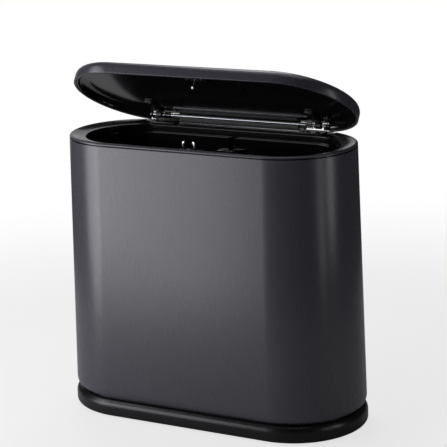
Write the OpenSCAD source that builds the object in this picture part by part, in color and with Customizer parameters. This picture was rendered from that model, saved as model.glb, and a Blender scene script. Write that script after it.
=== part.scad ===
/* [Body] */
// Width of the body at its top edge, left to right
body_w = 300; // [280:5:320]
// Depth of the body at its top edge, front to back
body_d = 128; // [124:2:140]
// Height of the shell's top edge above the table
shell_top = 275; // [250:5:300]
// Outward slope of the body's sides from top to bottom, in degrees
side_draft = 1.25; // [0.9:0.05:1.5]
// Thickness of the outer shell
shell_wall = 2.4; // [2:0.1:2.8]
// Height of the rounding at the shell's bottom edge
shell_round_h = 8; // [6:0.5:10]
// How far the shell's bottom edge turns in above the plinth
shell_round_in = 4.6; // [4:0.1:5]

/* [Plinth] */
// Gap that the feet leave under the plinth
foot_gap = 1.5; // [1:0.1:2]
// Height of the plinth's top face above the table
plinth_top = 18.5; // [16:0.5:21]
// Height of the shadow gap between plinth and shell
notch_h = 1.5; // [1:0.1:2]
// How far the plinth's bulge stands out past the shell
plinth_out = 0.9; // [0:0.1:2]
// Thickness of the plinth's floor
floor_t = 3; // [2.6:0.1:3.4]
// Diameter of a rubber foot
foot_d = 16; // [12:1:20]
// Distance of the feet from the middle, left to right
foot_x = 100; // [90:1:105]
// Distance of the feet from the middle, front to back
foot_y = 40; // [34:1:42]
// Distance of the base screws from the middle, left to right
base_screw_x = 70; // [55:1:80]

/* [Collar] */
// Open seam between the shell and the collar
seam_gap = 0.8; // [0.6:0.1:1]
// Height of the collar's ridge above the shell
ridge_h = 3.2; // [3:0.1:3.6]
// Distance of the ridge from the outer face
ridge_in = 2.4; // [2:0.1:3]
// Width of the collar from the outer face to the opening
collar_w = 16; // [15:0.2:17]
// Depth of the collar's inner lip below the shell's edge
lip_drop = 17; // [15:1:19]
// Depth of the plug that enters the shell
plug_h = 12; // [10:1:13]
// Thickness of the collar's lip and plug
collar_wall = 2.3; // [2:0.1:2.5]

/* [Bucket] */
// Thickness of the inner bucket
bucket_wall = 1.8; // [1.5:0.1:2.2]
// Gap between the bucket's rim and the collar's lip
bucket_gap = 1.2; // [0.9:0.1:1.5]
// Depth of the bucket's rim below the shell's top edge
bucket_drop = 7; // [6:0.5:9]
// Slope of the bucket's sides, in degrees
bucket_draft = 1; // [0.7:0.1:1.3]
// Width of the finger lug on the bucket's rear wall
lug_w = 24; // [18:1:30]
// Depth of the finger lug below the bucket's rim
lug_drop = 11; // [9:0.5:14]

/* [Lid] */
// Angle at which the lid stands open
open_deg = 32; // [20:1:40]
// How far the lid's outline stands inside the body's top edge
lid_inset = 0.6; // [0.4:0.1:1]
// Gap between the shut lid and the collar's ridge
lid_gap = 1.4; // [1.2:0.1:1.6]
// Height of the lid's edge, up to its flat top
lid_edge_h = 12.8; // [12.4:0.1:13.6]
// Height of the crown in the middle of the lid's top
lid_crown = 1.2; // [0.6:0.1:2]
// Thickness of the lid's outer shell
lid_wall = 2.2; // [2:0.1:2.3]
// Thickness of the lid's inner panel
liner_wall = 1.6; // [1.4:0.1:1.7]

/* [Hinge] */
// Distance of the hinge axis inside the body's rear face
hinge_in = 7; // [6.8:0.1:7.4]
// Height of the hinge axis above the shell's top edge
hinge_rise = 8.8; // [8.6:0.1:9]
// Diameter of the hinge rod
rod_d = 3; // [2.6:0.1:3.2]
// Distance of each hinge block's inner end from the end of the straight side
block_in = 17; // [15:1:24]
// Length of each hinge block
block_len = 27.5; // [27:0.5:29]
// Thickness of a hinge block's ears
ear_t = 2.5; // [2:0.1:2.8]
// Mean diameter of the torsion spring's coil
coil_d = 5.8; // [5.6:0.1:6]
// Thickness of the torsion spring's wire
coil_wire = 1; // [0.8:0.1:1.1]
// Step of the torsion spring's coil from turn to turn
coil_pitch = 2; // [1.8:0.05:2.1]

/* [Latch] */
// Width of the latch housing
housing_w = 23; // [22:0.5:25]
// Height of the latch housing
housing_h = 23; // [21:1:25]
// Diameter of the latch plunger
plunger_d = 4.8; // [4.2:0.1:4.9]
// Distance of each jaw's pin from the middle
jaw_pin_x = 5.2; // [5.1:0.1:5.4]
// Thickness of a jaw, front to back
jaw_t = 3; // [2:0.2:4]
// Diameter of the striker's head
striker_d = 4.8; // [4.2:0.1:5]

/* [Hidden] */
$fn = 64;

// Clearances between pieces, and the overlap that makes a cut pass right through
touch_gap = 0.3;
fit_gap = 0.05;
cut = 1;

// Finishes
charcoal = "#3b3b3f";
gloss_black = "#101012";
rubber_black = "#1c1c1c";
bright_steel = "#b9bcc0";
zinc = "#9a9ca0";
dark_steel = "#46464a";

// Outline of the body: two half rounds joined by straight sides
straight = (body_w - body_d) / 2;
top_r = body_d / 2;
function body_r(z) = top_r + (shell_top - z) * tan(side_draft);

// Shell
shell_z = plinth_top + notch_h;
round_z = shell_z + shell_round_h;
turn_r = body_r(round_z) - shell_round_in;
shell_lip = 1;
mouth_r = turn_r - shell_lip;
seat_t = 3;
seat_z = shell_top - plug_h - touch_gap;

// Plinth
plinth_r = body_r(shell_z) + plinth_out;
plinth_edge = 3.5;
plinth_brow_w = plinth_r - turn_r + 0.7;
plinth_brow_h = 7.5;
plinth_wall = 2.6;
neck_r = mouth_r - touch_gap;
neck_wall = 2.4;
neck_top = shell_z + shell_wall + 1;
floor_z = foot_gap + floor_t;
foot_recess = 1.5;
base_screw_y = mouth_r - 7;
pillar_d = 11;
boss_d = 9;
boss_z = neck_top + 0.6;
boss_h = 20;
base_screw_d = 3.5;
base_head_d = 7;
base_head_h = 2.4;
base_head_z = foot_gap + 10;
base_screw_len = 26;

// Collar
lip_r = top_r - collar_w;
collar_z = shell_top + seam_gap;
ridge_z = shell_top + ridge_h;
lip_z = shell_top - lip_drop;
edge_z = shell_top + 0.2;
ceiling_z = shell_top - 2;
plug_r = top_r - shell_wall - 0.15;
plug_z = shell_top - plug_h;

// Bucket
bucket_z = floor_z + touch_gap;
bucket_top = shell_top - bucket_drop;
bucket_rim_r = lip_r - bucket_gap;
bucket_rim_out = 1.5;
bucket_rim_h = 3;
bucket_r = bucket_rim_r - bucket_rim_out;
bucket_floor_t = 2;
bucket_edge = 6;
function bucket_out(z) = bucket_r - (bucket_top - z) * tan(bucket_draft);
seat_ring_gap = 0.8;
seat_ring_t = 2;
seat_ring_h = 9;
lug_t = 3;
lug_out = 8.5;
lug_notch_w = 8;
lug_z = bucket_top - lug_drop;

// Latch places
latch_y = -(lip_r - 6.5);
flange_out = 6;
flange_w = housing_w + 2 * flange_out;
flange_half_h = 6;
housing_wall = 2;
housing_back = -lip_r + 10.6;
cover_t = 1.6;
cover_y = housing_back + 0.1;
housing_top = shell_top - 1.5;
housing_z = housing_top - housing_h;
jaw_z = shell_top - 7;
jaw_rise = 14;
jaw_boss_r = 2.1;
jaw_pin_d = 2;
plunger_top = shell_top - 0.4;
plunger_lift = 11.5;
plunger_foot = housing_z + plunger_lift;
plunger_flange_d = plunger_d + 2;
plunger_flange_h = 2;
latch_wire = 0.7;
latch_coil_d = 5.2;
latch_turns = 6;
latch_screw_x = housing_w / 2 + 3;
latch_screw_drop = 10.5;
latch_screw_z = housing_top - latch_screw_drop;
small_screw_d = 2.9;
small_head_d = 4.8;
small_head_h = 1.3;
boss_small_d = 7;
rebate_w = flange_w + 3;
rebate_y = cover_y + cover_t + 1.1;

// Hinge
hinge_y = top_r - hinge_in;
hinge_z = shell_top + hinge_rise;
rod_r = rod_d / 2;
block_x = straight - block_in;
rod_half = block_x + block_len + 3.5;
clip_t = 0.8;
clip_d = 6.4;
clip_x = block_x + block_len + 1;
ear_r = 3.6;
knuckle_r = 3.4;
knuckle_w = 6.5;
knuckle_x = block_x + block_len - ear_t - 1.5 - knuckle_w;
pad_z = collar_z + 0.6;
pad_t = 1.2;
pad_front = lip_r + 1.8;
pad_back = hinge_y + 4;
back_wall_t = 0.6;
back_wall_top = hinge_z - 1.7;
bracket_screw_y = lip_r + 4.2;
bracket_screws_x = [block_x + 11, block_x + block_len - 6.5];
bracket_screw_len = 8;
arm_t = 2;
arm_w = 8;
arm_x = knuckle_x + knuckle_w / 2;
arm_neck = 8;
coil_clear = 0.5;
coil_start = -70;
coil_end = 90 - open_deg + 4 * 360;
coil_x = arm_x - arm_w / 2 - coil_clear - coil_wire / 2 - coil_pitch * (coil_end - coil_start) / 360;
fixed_leg = 8.5;
lid_leg = 15;
sides = 6;
rings_a_turn = 8;

// Lid, drawn shut and then turned open about the hinge
lid_r = top_r - lid_inset;
lid_z = ridge_z + lid_gap;
lid_corner_w = 5.2;
lid_corner_h = 6.2;
lid_shoulder = lid_z + lid_edge_h - lid_corner_h;
lid_top = lid_z + lid_edge_h;
liner_r = lid_r - lid_wall - 0.15;
liner_z = lid_z + 0.9;
panel_z = hinge_z + 4;
panel_top = panel_z + liner_wall;
liner_fillet_w = 10;
liner_fillet_h = 6;
arm_relief = 0.05;
rod_channel_gap = 0.6;
hinge_notch_gap = 2.5;
hinge_notch_top = lid_z + 8.9;
swing_r = norm([lid_r - hinge_y, hinge_z - lid_z]);
trough_r = swing_r + 0.4;
trough_past = 12;
trough_end_past = 21;
trough_end_r = norm([sqrt(pow(lid_r, 2) - pow(trough_past, 2)) - hinge_y, hinge_z - lid_z]) + touch_gap;
arm_len = 29;
arm_front = hinge_y - arm_len;
arm_screw_in = 5;
arm_screw_step = 12;
arm_screws_y = [arm_front + arm_screw_in, arm_front + arm_screw_in + arm_screw_step];
arm_screw_len = 4.6;
striker_w = 22;
striker_dep = 8;
striker_t = 2;
striker_neck_d = 1.9;
striker_foot_z = plunger_top + 1.5;
striker_head_h = 2.2;
striker_screw_x = 7.5;
striker_screw_len = 4;

// Points along an elliptical arc
function arc(cx, cy, rx, ry, a0, a1, n = 8) =
    [for (i = [0 : n]) [cx + rx * cos(a0 + (a1 - a0) * i / n), cy + ry * sin(a0 + (a1 - a0) * i / n)]];

// Sweeps an outline given as distance and height round the stadium plan
module round_plan(outline) {
    for (s = [-1, 1])
        translate([s * straight, 0, 0])
            rotate([0, 0, -90 * s])
                rotate_extrude(angle = 180)
                    polygon(outline);
    for (turn = [0, 180])
        rotate([0, 0, turn])
            translate([-straight, 0, 0])
                rotate([90, 0, 90])
                    linear_extrude(2 * straight)
                        polygon(outline);
}

module at_both_sides(x) {
    for (s = [-1, 1])
        translate([s * x, 0, 0])
            children();
}

module side(s) {
    if (s < 0)
        mirror([1, 0, 0]) children();
    else
        children();
}

module block(x0, x1, y0, y1, z0, z1) {
    translate([x0, y0, z0])
        cube([x1 - x0, y1 - y0, z1 - z0]);
}

// Turns what is drawn shut to the angle at which the lid stands open
module opened() {
    translate([0, hinge_y, hinge_z])
        rotate([-open_deg, 0, 0])
            translate([0, -hinge_y, -hinge_z])
                children();
}

// Screw that points up from its head, with a domed cap and a plain shank
module screw(d, len, head_d, head_h) {
    rotate_extrude()
        polygon(concat([[0, len], [0, -head_h]],
                       arc(0, 0, head_d / 2, head_h, -90, 0, 6),
                       [[d / 2, 0], [d / 2, len - d / 4], [d / 4, len]]));
}

module upright(d, z0, z1) {
    translate([0, 0, z0])
        cylinder(d = d, h = z1 - z0);
}

module along_x(r, x0, x1) {
    translate([x0, hinge_y, hinge_z])
        rotate([0, 90, 0])
            cylinder(r = r, h = x1 - x0);
}

// Wound wire: straight leg, coil and straight leg as one unbroken path
function coil_at(a, r, pitch, a0) = [pitch * (a - a0) / 360, r * cos(a), r * sin(a)];
function coil_run(a, r, pitch) = let (v = [pitch / (2 * PI), -r * sin(a), r * cos(a)]) v / norm(v);
function coil_path(r, pitch, a0, a1, leg0, leg1, n) = concat(
    leg0 > 0 ? [coil_at(a0, r, pitch, a0) - leg0 * coil_run(a0, r, 0)] : [],
    [for (i = [0 : n]) coil_at(a0 + (a1 - a0) * i / n, r, pitch, a0)],
    leg1 > 0 ? [coil_at(a1, r, pitch, a0) + leg1 * coil_run(a1, r, 0)] : []);
function coil_angles(a0, a1, leg0, leg1, n) = concat(
    leg0 > 0 ? [a0] : [], [for (i = [0 : n]) a0 + (a1 - a0) * i / n], leg1 > 0 ? [a1] : []);

module wire_coil(r, pitch, a0, a1, wire, leg0, leg1) {
    n = ceil((a1 - a0) / 360 * rings_a_turn);
    path = coil_path(r, pitch, a0, a1, leg0, leg1, n);
    turns = coil_angles(a0, a1, leg0, leg1, n);
    rings = [for (i = [0 : len(path) - 1])
        let (run = coil_run(turns[i], r, pitch),
             out = [0, cos(turns[i]), sin(turns[i])],
             up = cross(run, out))
        [for (k = [0 : sides - 1])
            path[i] + wire / 2 * (cos(360 * k / sides) * out + sin(360 * k / sides) * up)]];
    last = len(path) - 1;
    walls = [for (i = [0 : last - 1], k = [0 : sides - 1])
        let (a = i * sides + k, b = i * sides + (k + 1) % sides)
        each [[a, a + sides, b], [b, a + sides, b + sides]]];
    caps = [for (k = [1 : sides - 2])
        each [[0, k, k + 1], [last * sides, last * sides + k + 1, last * sides + k]]];
    polyhedron([for (ring = rings, p = ring) p], concat(walls, caps));
}

// Least clear gap between stretches of a coil that lie more than half a turn apart
function coil_gap(path, wire) = min([for (i = [0 : len(path) - 1], j = [0 : len(path) - 1])
    if (j - i > rings_a_turn / 2) norm(path[i] - path[j]) - wire]);

torsion_n = ceil((coil_end - coil_start) / 360 * rings_a_turn);
echo(torsion_spring_gap = coil_gap(
    coil_path(coil_d / 2, coil_pitch, coil_start, coil_end, fixed_leg, lid_leg, torsion_n), coil_wire));
latch_pitch = (plunger_foot - housing_z - housing_wall - latch_wire) / latch_turns;
echo(latch_spring_gap = coil_gap(
    coil_path(latch_coil_d / 2, latch_pitch, 0, 360 * latch_turns, 0, 0, rings_a_turn * latch_turns),
    latch_wire));

// Outer casing: a sleeve with a rounded bottom edge, a seat for the collar and four screw bosses
module outer_shell() {
    color(charcoal)
        difference() {
            union() {
                round_plan(concat(
                    [[mouth_r, shell_z]],
                    arc(turn_r, round_z, shell_round_in, shell_round_h, -90, 0),
                    [[top_r, shell_top], [top_r - shell_wall, shell_top]],
                    arc(turn_r, round_z, shell_round_in - shell_wall, shell_round_h - shell_wall, 0, -90),
                    [[mouth_r, shell_z + shell_wall]]));
                round_plan([[plug_r - collar_wall + 0.5, seat_z - seat_t + 1.5],
                            [body_r(seat_z) - shell_wall + 0.5, seat_z - seat_t - 1.5],
                            [body_r(seat_z) - shell_wall + 0.5, seat_z],
                            [plug_r - collar_wall + 0.5, seat_z]]);
                at_both_sides(base_screw_x)
                    for (s = [-1, 1])
                        scale([1, s, 1]) {
                            translate([0, base_screw_y, 0])
                                upright(boss_d, boss_z, boss_z + boss_h);
                            block(-1.2, 1.2, base_screw_y + 2, body_r(boss_z + boss_h) - shell_wall + 1,
                                  boss_z, boss_z + boss_h);
                        }
            }
            at_both_sides(base_screw_x)
                for (s = [-1, 1])
                    translate([0, s * base_screw_y, 0])
                        upright(base_screw_d + 2 * fit_gap, boss_z - cut, boss_z + boss_h - 2);
        }
}

// Foot of the bin: a bulged band with a floor, a neck that enters the shell and screw pillars
module base_plinth() {
    color(gloss_black)
        difference() {
            union() {
                difference() {
                    round_plan(concat(
                        [[0, foot_gap]],
                        arc(plinth_r - plinth_edge, foot_gap + plinth_edge,
                            plinth_edge, plinth_edge, -90, 0, 6),
                        arc(plinth_r - plinth_brow_w, plinth_top - plinth_brow_h,
                            plinth_brow_w, plinth_brow_h, 0, 90),
                        [[neck_r, plinth_top], [neck_r, neck_top], [0, neck_top]]));
                    round_plan([[0, floor_z], [neck_r - neck_wall, floor_z],
                                [neck_r - neck_wall, neck_top + cut], [0, neck_top + cut]]);
                    round_plan([[neck_r, foot_gap - cut], [plinth_r - plinth_wall, foot_gap - cut],
                                [plinth_r - plinth_wall, plinth_top - plinth_brow_h + 2],
                                [neck_r, plinth_top - plinth_wall]]);
                }
                round_plan([[bucket_out(bucket_z) + seat_ring_gap, floor_z - 0.5],
                            [bucket_out(bucket_z) + seat_ring_gap + seat_ring_t, floor_z - 0.5],
                            [bucket_out(bucket_z) + seat_ring_gap + seat_ring_t, floor_z + seat_ring_h],
                            [bucket_out(bucket_z) + seat_ring_gap, floor_z + seat_ring_h]]);
                at_both_sides(base_screw_x)
                    for (s = [-1, 1])
                        translate([0, s * base_screw_y, 0])
                            upright(pillar_d, foot_gap + 0.5, neck_top);
            }
            at_both_sides(base_screw_x)
                for (s = [-1, 1])
                    translate([0, s * base_screw_y, 0]) {
                        upright(base_screw_d + 0.5, foot_gap, neck_top + cut);
                        upright(base_head_d + 1, foot_gap - cut, base_head_z + 0.1);
                    }
            at_both_sides(foot_x)
                for (s = [-1, 1])
                    translate([0, s * foot_y, 0])
                        upright(foot_d + 0.4, foot_gap - cut, foot_gap + foot_recess);
        }
}

module foot_pads() {
    color(rubber_black)
        at_both_sides(foot_x)
            for (s = [-1, 1])
                translate([0, s * foot_y, 0])
                    rotate_extrude()
                        polygon([[0, 0], [foot_d / 2 - 0.8, 0], [foot_d / 2, 0.8],
                                 [foot_d / 2, foot_gap + foot_recess], [0, foot_gap + foot_recess]]);
}

module base_screws() {
    color(zinc)
        at_both_sides(base_screw_x)
            for (s = [-1, 1])
                translate([0, s * base_screw_y, base_head_z])
                    screw(base_screw_d, base_screw_len, base_head_d, base_head_h);
}

// Removable bucket with a rolled rim, a groove that clears the latch and a finger lug at the back
module inner_bucket() {
    inner_r = bucket_out(bucket_top) - bucket_wall;
    color(gloss_black)
        difference() {
            union() {
                difference() {
                    difference() {
                        round_plan(concat(
                            [[0, bucket_z]],
                            arc(bucket_out(bucket_z) - bucket_edge, bucket_z + bucket_edge,
                                bucket_edge, bucket_edge, -90, 0, 5),
                            [[bucket_out(bucket_top - bucket_rim_h), bucket_top - bucket_rim_h],
                             [bucket_rim_r, bucket_top - bucket_rim_h], [bucket_rim_r, bucket_top - 0.5],
                             [bucket_rim_r - 0.5, bucket_top], [0, bucket_top]]));
                        block(-rebate_w / 2, rebate_w / 2, -bucket_rim_r - cut, rebate_y,
                              bucket_z - cut, bucket_top + cut);
                    }
                    difference() {
                        round_plan(concat(
                            [[0, bucket_z + bucket_floor_t]],
                            arc(bucket_out(bucket_z) - bucket_edge, bucket_z + bucket_edge,
                                bucket_edge - bucket_wall, bucket_edge - bucket_floor_t, -90, 0, 5),
                            [[inner_r, bucket_top], [inner_r, bucket_top + cut], [0, bucket_top + cut]]));
                        block(-rebate_w / 2 - bucket_wall, rebate_w / 2 + bucket_wall,
                              -bucket_rim_r - cut, rebate_y + bucket_wall,
                              bucket_z - cut, bucket_top + 2 * cut);
                    }
                }
                block(-lug_w / 2, lug_w / 2, inner_r - lug_out, inner_r + bucket_wall / 2,
                      lug_z - lug_t, lug_z);
            }
            block(-lug_notch_w / 2, lug_notch_w / 2, inner_r - 1, bucket_rim_r + cut,
                  lug_z, bucket_top + cut);
        }
}

// Outline of the collar: rounded outer edge, ridge, funnel to the opening, lip and plug
collar_outline = concat(
    [[top_r, collar_z]],
    arc(top_r - ridge_in, ridge_z - 1.8, ridge_in, 1.8, 0, 90, 6),
    [for (i = [1 : 7]) let (t = i / 8)
        [top_r - ridge_in - 0.6 - t * (collar_w - ridge_in - 0.6),
         ridge_z - (ridge_z - edge_z) * (1 - pow(1 - t, 1.6))]],
    [[lip_r, edge_z - 0.5], [lip_r, lip_z], [lip_r + collar_wall, lip_z],
     [lip_r + collar_wall, ceiling_z], [plug_r - collar_wall, ceiling_z],
     [plug_r - collar_wall, plug_z], [plug_r, plug_z], [plug_r, collar_z]]);

module rim_collar() {
    color(charcoal)
        difference() {
            union() {
                round_plan(collar_outline);
                for (s = [-1, 1], x = bracket_screws_x)
                    translate([s * x, bracket_screw_y, 0])
                        upright(boss_small_d, ceiling_z - bracket_screw_len, ceiling_z + 0.5);
                at_both_sides(latch_screw_x)
                    translate([0, -lip_r - 0.5, latch_screw_z])
                        rotate([90, 0, 0])
                            cylinder(d = boss_small_d, h = 7);
                intersection() {
                    round_plan([[0, ceiling_z], [plug_r, ceiling_z], [plug_r, pad_z], [0, pad_z]]);
                    for (s = [-1, 1])
                        side(s)
                            block(block_x - 1, block_x + block_len + 1, pad_front - 0.3, pad_back,
                                  ceiling_z, pad_z);
                }
            }
            along_x(trough_r, -straight - trough_past, straight + trough_past);
            along_x(trough_end_r, -straight - trough_end_past, straight + trough_end_past);
            for (s = [-1, 1])
                side(s)
                    block(block_x - 1, block_x + block_len + 1, pad_front - 0.3, pad_back + 0.3,
                          pad_z, ridge_z + cut);
            for (s = [-1, 1], x = bracket_screws_x)
                translate([s * x, bracket_screw_y, 0])
                    upright(small_screw_d + 2 * fit_gap,
                            pad_z + pad_t - bracket_screw_len - 0.5, pad_z + cut);
            at_both_sides(latch_screw_x)
                translate([0, -lip_r + cut, latch_screw_z])
                    rotate([90, 0, 0])
                        cylinder(d = small_screw_d + 2 * fit_gap, h = 7 + cut);
        }
}

// Hinge block on the collar: a base plate with a low back wall and two ears that hold the rod
module hinge_bracket() {
    difference() {
        union() {
            block(block_x, block_x + block_len, pad_front, pad_back, pad_z, pad_z + pad_t);
            block(block_x, block_x + block_len, pad_back - back_wall_t, pad_back, pad_z,
                  back_wall_top);
            for (x = [block_x, block_x + block_len - ear_t]) {
                along_x(ear_r, x, x + ear_t);
                block(x, x + ear_t, hinge_y - ear_r, hinge_y + ear_r, pad_z + pad_t / 2, hinge_z);
            }
        }
        along_x(rod_r + fit_gap, block_x - cut, block_x + block_len + cut);
        for (x = bracket_screws_x)
            translate([x, bracket_screw_y, 0])
                upright(small_screw_d + 0.4, pad_z - cut, pad_z + pad_t + cut);
    }
}

module hinge_bracket_left() {
    color(gloss_black) side(-1) hinge_bracket();
}

module hinge_bracket_right() {
    color(gloss_black) side(1) hinge_bracket();
}

module bracket_screws() {
    color(dark_steel)
        for (s = [-1, 1], x = bracket_screws_x)
            translate([s * x, bracket_screw_y, pad_z + pad_t])
                rotate([180, 0, 0])
                    screw(small_screw_d, bracket_screw_len, small_head_d, small_head_h);
}

module hinge_rod() {
    color(bright_steel)
        along_x(rod_r, -rod_half, rod_half);
}

module rod_clips() {
    color(zinc)
        for (s = [-1, 1])
            side(s)
                difference() {
                    along_x(clip_d / 2, clip_x, clip_x + clip_t);
                    along_x(rod_r + fit_gap / 2, clip_x - cut, clip_x + clip_t + cut);
                }
}

// Torsion spring round the rod, one leg on the hinge block and one under the lid's panel
module torsion_spring() {
    translate([coil_x, hinge_y, hinge_z])
        wire_coil(coil_d / 2, coil_pitch, coil_start, coil_end, coil_wire, fixed_leg, lid_leg);
}

module torsion_spring_left() {
    color(dark_steel) side(-1) torsion_spring();
}

module torsion_spring_right() {
    color(dark_steel) side(1) torsion_spring();
}

// Arm screwed under the lid, with a knuckle that turns on the rod
module hinge_arm() {
    opened()
        difference() {
            union() {
                block(arm_x - arm_w / 2, arm_x + arm_w / 2, arm_front, hinge_y - arm_neck,
                      panel_z - arm_t, panel_z);
                block(knuckle_x, knuckle_x + knuckle_w, hinge_y - arm_neck - 1, hinge_y,
                      panel_z - arm_t - 1, panel_z);
                along_x(knuckle_r, knuckle_x, knuckle_x + knuckle_w);
            }
            along_x(rod_r + fit_gap, knuckle_x - cut, knuckle_x + knuckle_w + cut);
            for (y = arm_screws_y)
                translate([arm_x, y, 0])
                    upright(small_screw_d + 0.4, panel_z - arm_t - cut, panel_z + cut);
        }
}

module hinge_arm_left() {
    color(gloss_black) side(-1) hinge_arm();
}

module hinge_arm_right() {
    color(gloss_black) side(1) hinge_arm();
}

module arm_screws() {
    color(dark_steel)
        opened()
            for (s = [-1, 1], y = arm_screws_y)
                translate([s * arm_x, y, panel_z - arm_t])
                    screw(small_screw_d, arm_screw_len, small_head_d, small_head_h);
}

// Heights of the lid's crowned top over the distance from the middle line
function crown_at(r) = lid_top + lid_crown * (1 - pow(r / (lid_r - lid_corner_w), 2));

// Openings in the lid's rear edge where the hinge blocks stand
module hinge_notches(y0, z1) {
    for (s = [-1, 1])
        side(s)
            block(block_x - hinge_notch_gap, block_x + block_len + 4, y0, lid_r + cut, lid_z - cut, z1);
}

// Outer shell of the lid
module lid_shell() {
    edge_r = lid_r - lid_corner_w;
    color(charcoal)
        opened()
            difference() {
                union() {
                    difference() {
                        round_plan(concat(
                            [[0, lid_z], [lid_r - 0.4, lid_z], [lid_r, lid_z + 0.4]],
                            arc(edge_r, lid_shoulder, lid_corner_w, lid_corner_h, 0, 90, 10),
                            [for (i = [1 : 6]) [edge_r * (1 - i / 6), crown_at(edge_r * (1 - i / 6))]]));
                        round_plan(concat(
                            [[0, lid_z - cut], [lid_r - lid_wall, lid_z - cut]],
                            arc(edge_r, lid_shoulder,
                                lid_corner_w - lid_wall, lid_corner_h - lid_wall, 0, 90, 8),
                            [for (i = [1 : 6])
                                [edge_r * (1 - i / 6), crown_at(edge_r * (1 - i / 6)) - lid_wall]]));
                    }
                    for (s = [-1, 1], y = arm_screws_y)
                        translate([s * arm_x, y, 0])
                            upright(boss_small_d, panel_top, crown_at(y) - lid_wall / 2);
                    at_both_sides(striker_screw_x)
                        translate([0, latch_y, 0])
                            upright(boss_small_d - 1, panel_top, crown_at(latch_y) - lid_wall / 2);
                }
                for (s = [-1, 1], y = arm_screws_y)
                    translate([s * arm_x, y, 0])
                        upright(small_screw_d + 2 * fit_gap, panel_top - cut,
                                panel_z - arm_t + arm_screw_len + 0.2);
                at_both_sides(striker_screw_x)
                    translate([0, latch_y, 0])
                        upright(small_screw_d + 2 * fit_gap, panel_top - cut,
                                panel_z - striker_t + striker_screw_len + 0.2);
                hinge_notches(hinge_y - 3, hinge_notch_top);
            }
}

// Inner panel of the lid: a shallow dish that lines the shell
module lid_liner() {
    color(gloss_black)
        opened()
            difference() {
                round_plan(concat(
                    [[liner_r - liner_wall, liner_z], [liner_r, liner_z], [liner_r, lid_shoulder - 0.5],
                     [liner_r - 2, panel_top], [0, panel_top], [0, panel_z]],
                    arc(liner_r - liner_wall - liner_fillet_w, panel_z - liner_fillet_h,
                        liner_fillet_w, liner_fillet_h, 90, 0, 6)));
                for (s = [-1, 1], y = arm_screws_y)
                    translate([s * arm_x, y, 0])
                        upright(small_screw_d + 0.4, panel_z - cut, panel_top + cut);
                at_both_sides(striker_screw_x)
                    translate([0, latch_y, 0])
                        upright(small_screw_d + 0.4, panel_z - cut, panel_top + cut);
                hinge_notches(hinge_y - arm_neck, panel_z + arm_relief);
                // Channel that keeps the wall's inner round clear of the rod
                along_x(rod_r + rod_channel_gap, -block_x, block_x);
            }
}

// Striker: a headed pin on a plate under the lid's front
module lid_striker() {
    plate_z = panel_z - striker_t;
    neck_z = striker_foot_z + striker_head_h;
    color(bright_steel)
        opened()
            difference() {
                union() {
                    block(-striker_w / 2, striker_w / 2, latch_y - striker_dep / 2, latch_y + striker_dep / 2,
                          plate_z, panel_z);
                    translate([0, latch_y, 0])
                        upright(striker_neck_d, neck_z - 0.1, plate_z + 0.1);
                    translate([0, latch_y, striker_foot_z])
                        cylinder(d1 = striker_d - 1.6, d2 = striker_d, h = striker_head_h);
                }
                at_both_sides(striker_screw_x)
                    translate([0, latch_y, 0])
                        upright(small_screw_d + 0.4, plate_z - cut, panel_z + cut);
            }
}

module striker_screws() {
    color(dark_steel)
        opened()
            at_both_sides(striker_screw_x)
                translate([0, latch_y, panel_z - striker_t])
                    screw(small_screw_d, striker_screw_len, small_head_d, small_head_h);
}

// Latch housing on the collar's front lip, open at the top and at the back
module latch_housing() {
    color(gloss_black)
        difference() {
            union() {
                block(-housing_w / 2, housing_w / 2, -lip_r, housing_back, housing_z, housing_top);
                block(-flange_w / 2, flange_w / 2, -lip_r, -lip_r + housing_wall,
                      latch_screw_z - flange_half_h, latch_screw_z + flange_half_h);
            }
            block(-housing_w / 2 + housing_wall, housing_w / 2 - housing_wall, -lip_r + housing_wall,
                  housing_back + cut, housing_z + housing_wall, housing_top + cut);
            at_both_sides(jaw_pin_x)
                translate([0, housing_back + cut, jaw_z])
                    rotate([90, 0, 0])
                        cylinder(d = jaw_pin_d + 2 * fit_gap, h = housing_back + lip_r - 0.5 + cut);
            at_both_sides(latch_screw_x)
                translate([0, -lip_r + housing_wall + cut, latch_screw_z])
                    rotate([90, 0, 0])
                        cylinder(d = small_screw_d + 0.4, h = housing_wall + 2 * cut);
        }
}

module latch_cover() {
    color(gloss_black)
        difference() {
            block(-housing_w / 2, housing_w / 2, cover_y, cover_y + cover_t, housing_z, housing_top);
            at_both_sides(jaw_pin_x)
                translate([0, cover_y + cover_t + cut, jaw_z])
                    rotate([90, 0, 0])
                        cylinder(d = jaw_pin_d + 2 * fit_gap, h = cover_t + 2 * cut);
        }
}

module latch_screws() {
    color(zinc)
        at_both_sides(latch_screw_x)
            translate([0, -lip_r + housing_wall, latch_screw_z])
                rotate([90, 0, 0])
                    screw(small_screw_d, 7, small_head_d, small_head_h);
}

module latch_plunger() {
    color(zinc)
        translate([0, latch_y, 0])
            union() {
                upright(plunger_d, plunger_foot, plunger_top);
                upright(plunger_flange_d, plunger_foot, plunger_foot + plunger_flange_h);
            }
}

module latch_spring() {
    color(bright_steel)
        translate([0, latch_y, housing_z + housing_wall + latch_wire / 2])
            rotate([0, -90, 0])
                wire_coil(latch_coil_d / 2, latch_pitch, 0, 360 * latch_turns, latch_wire, 0, 0);
}

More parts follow.
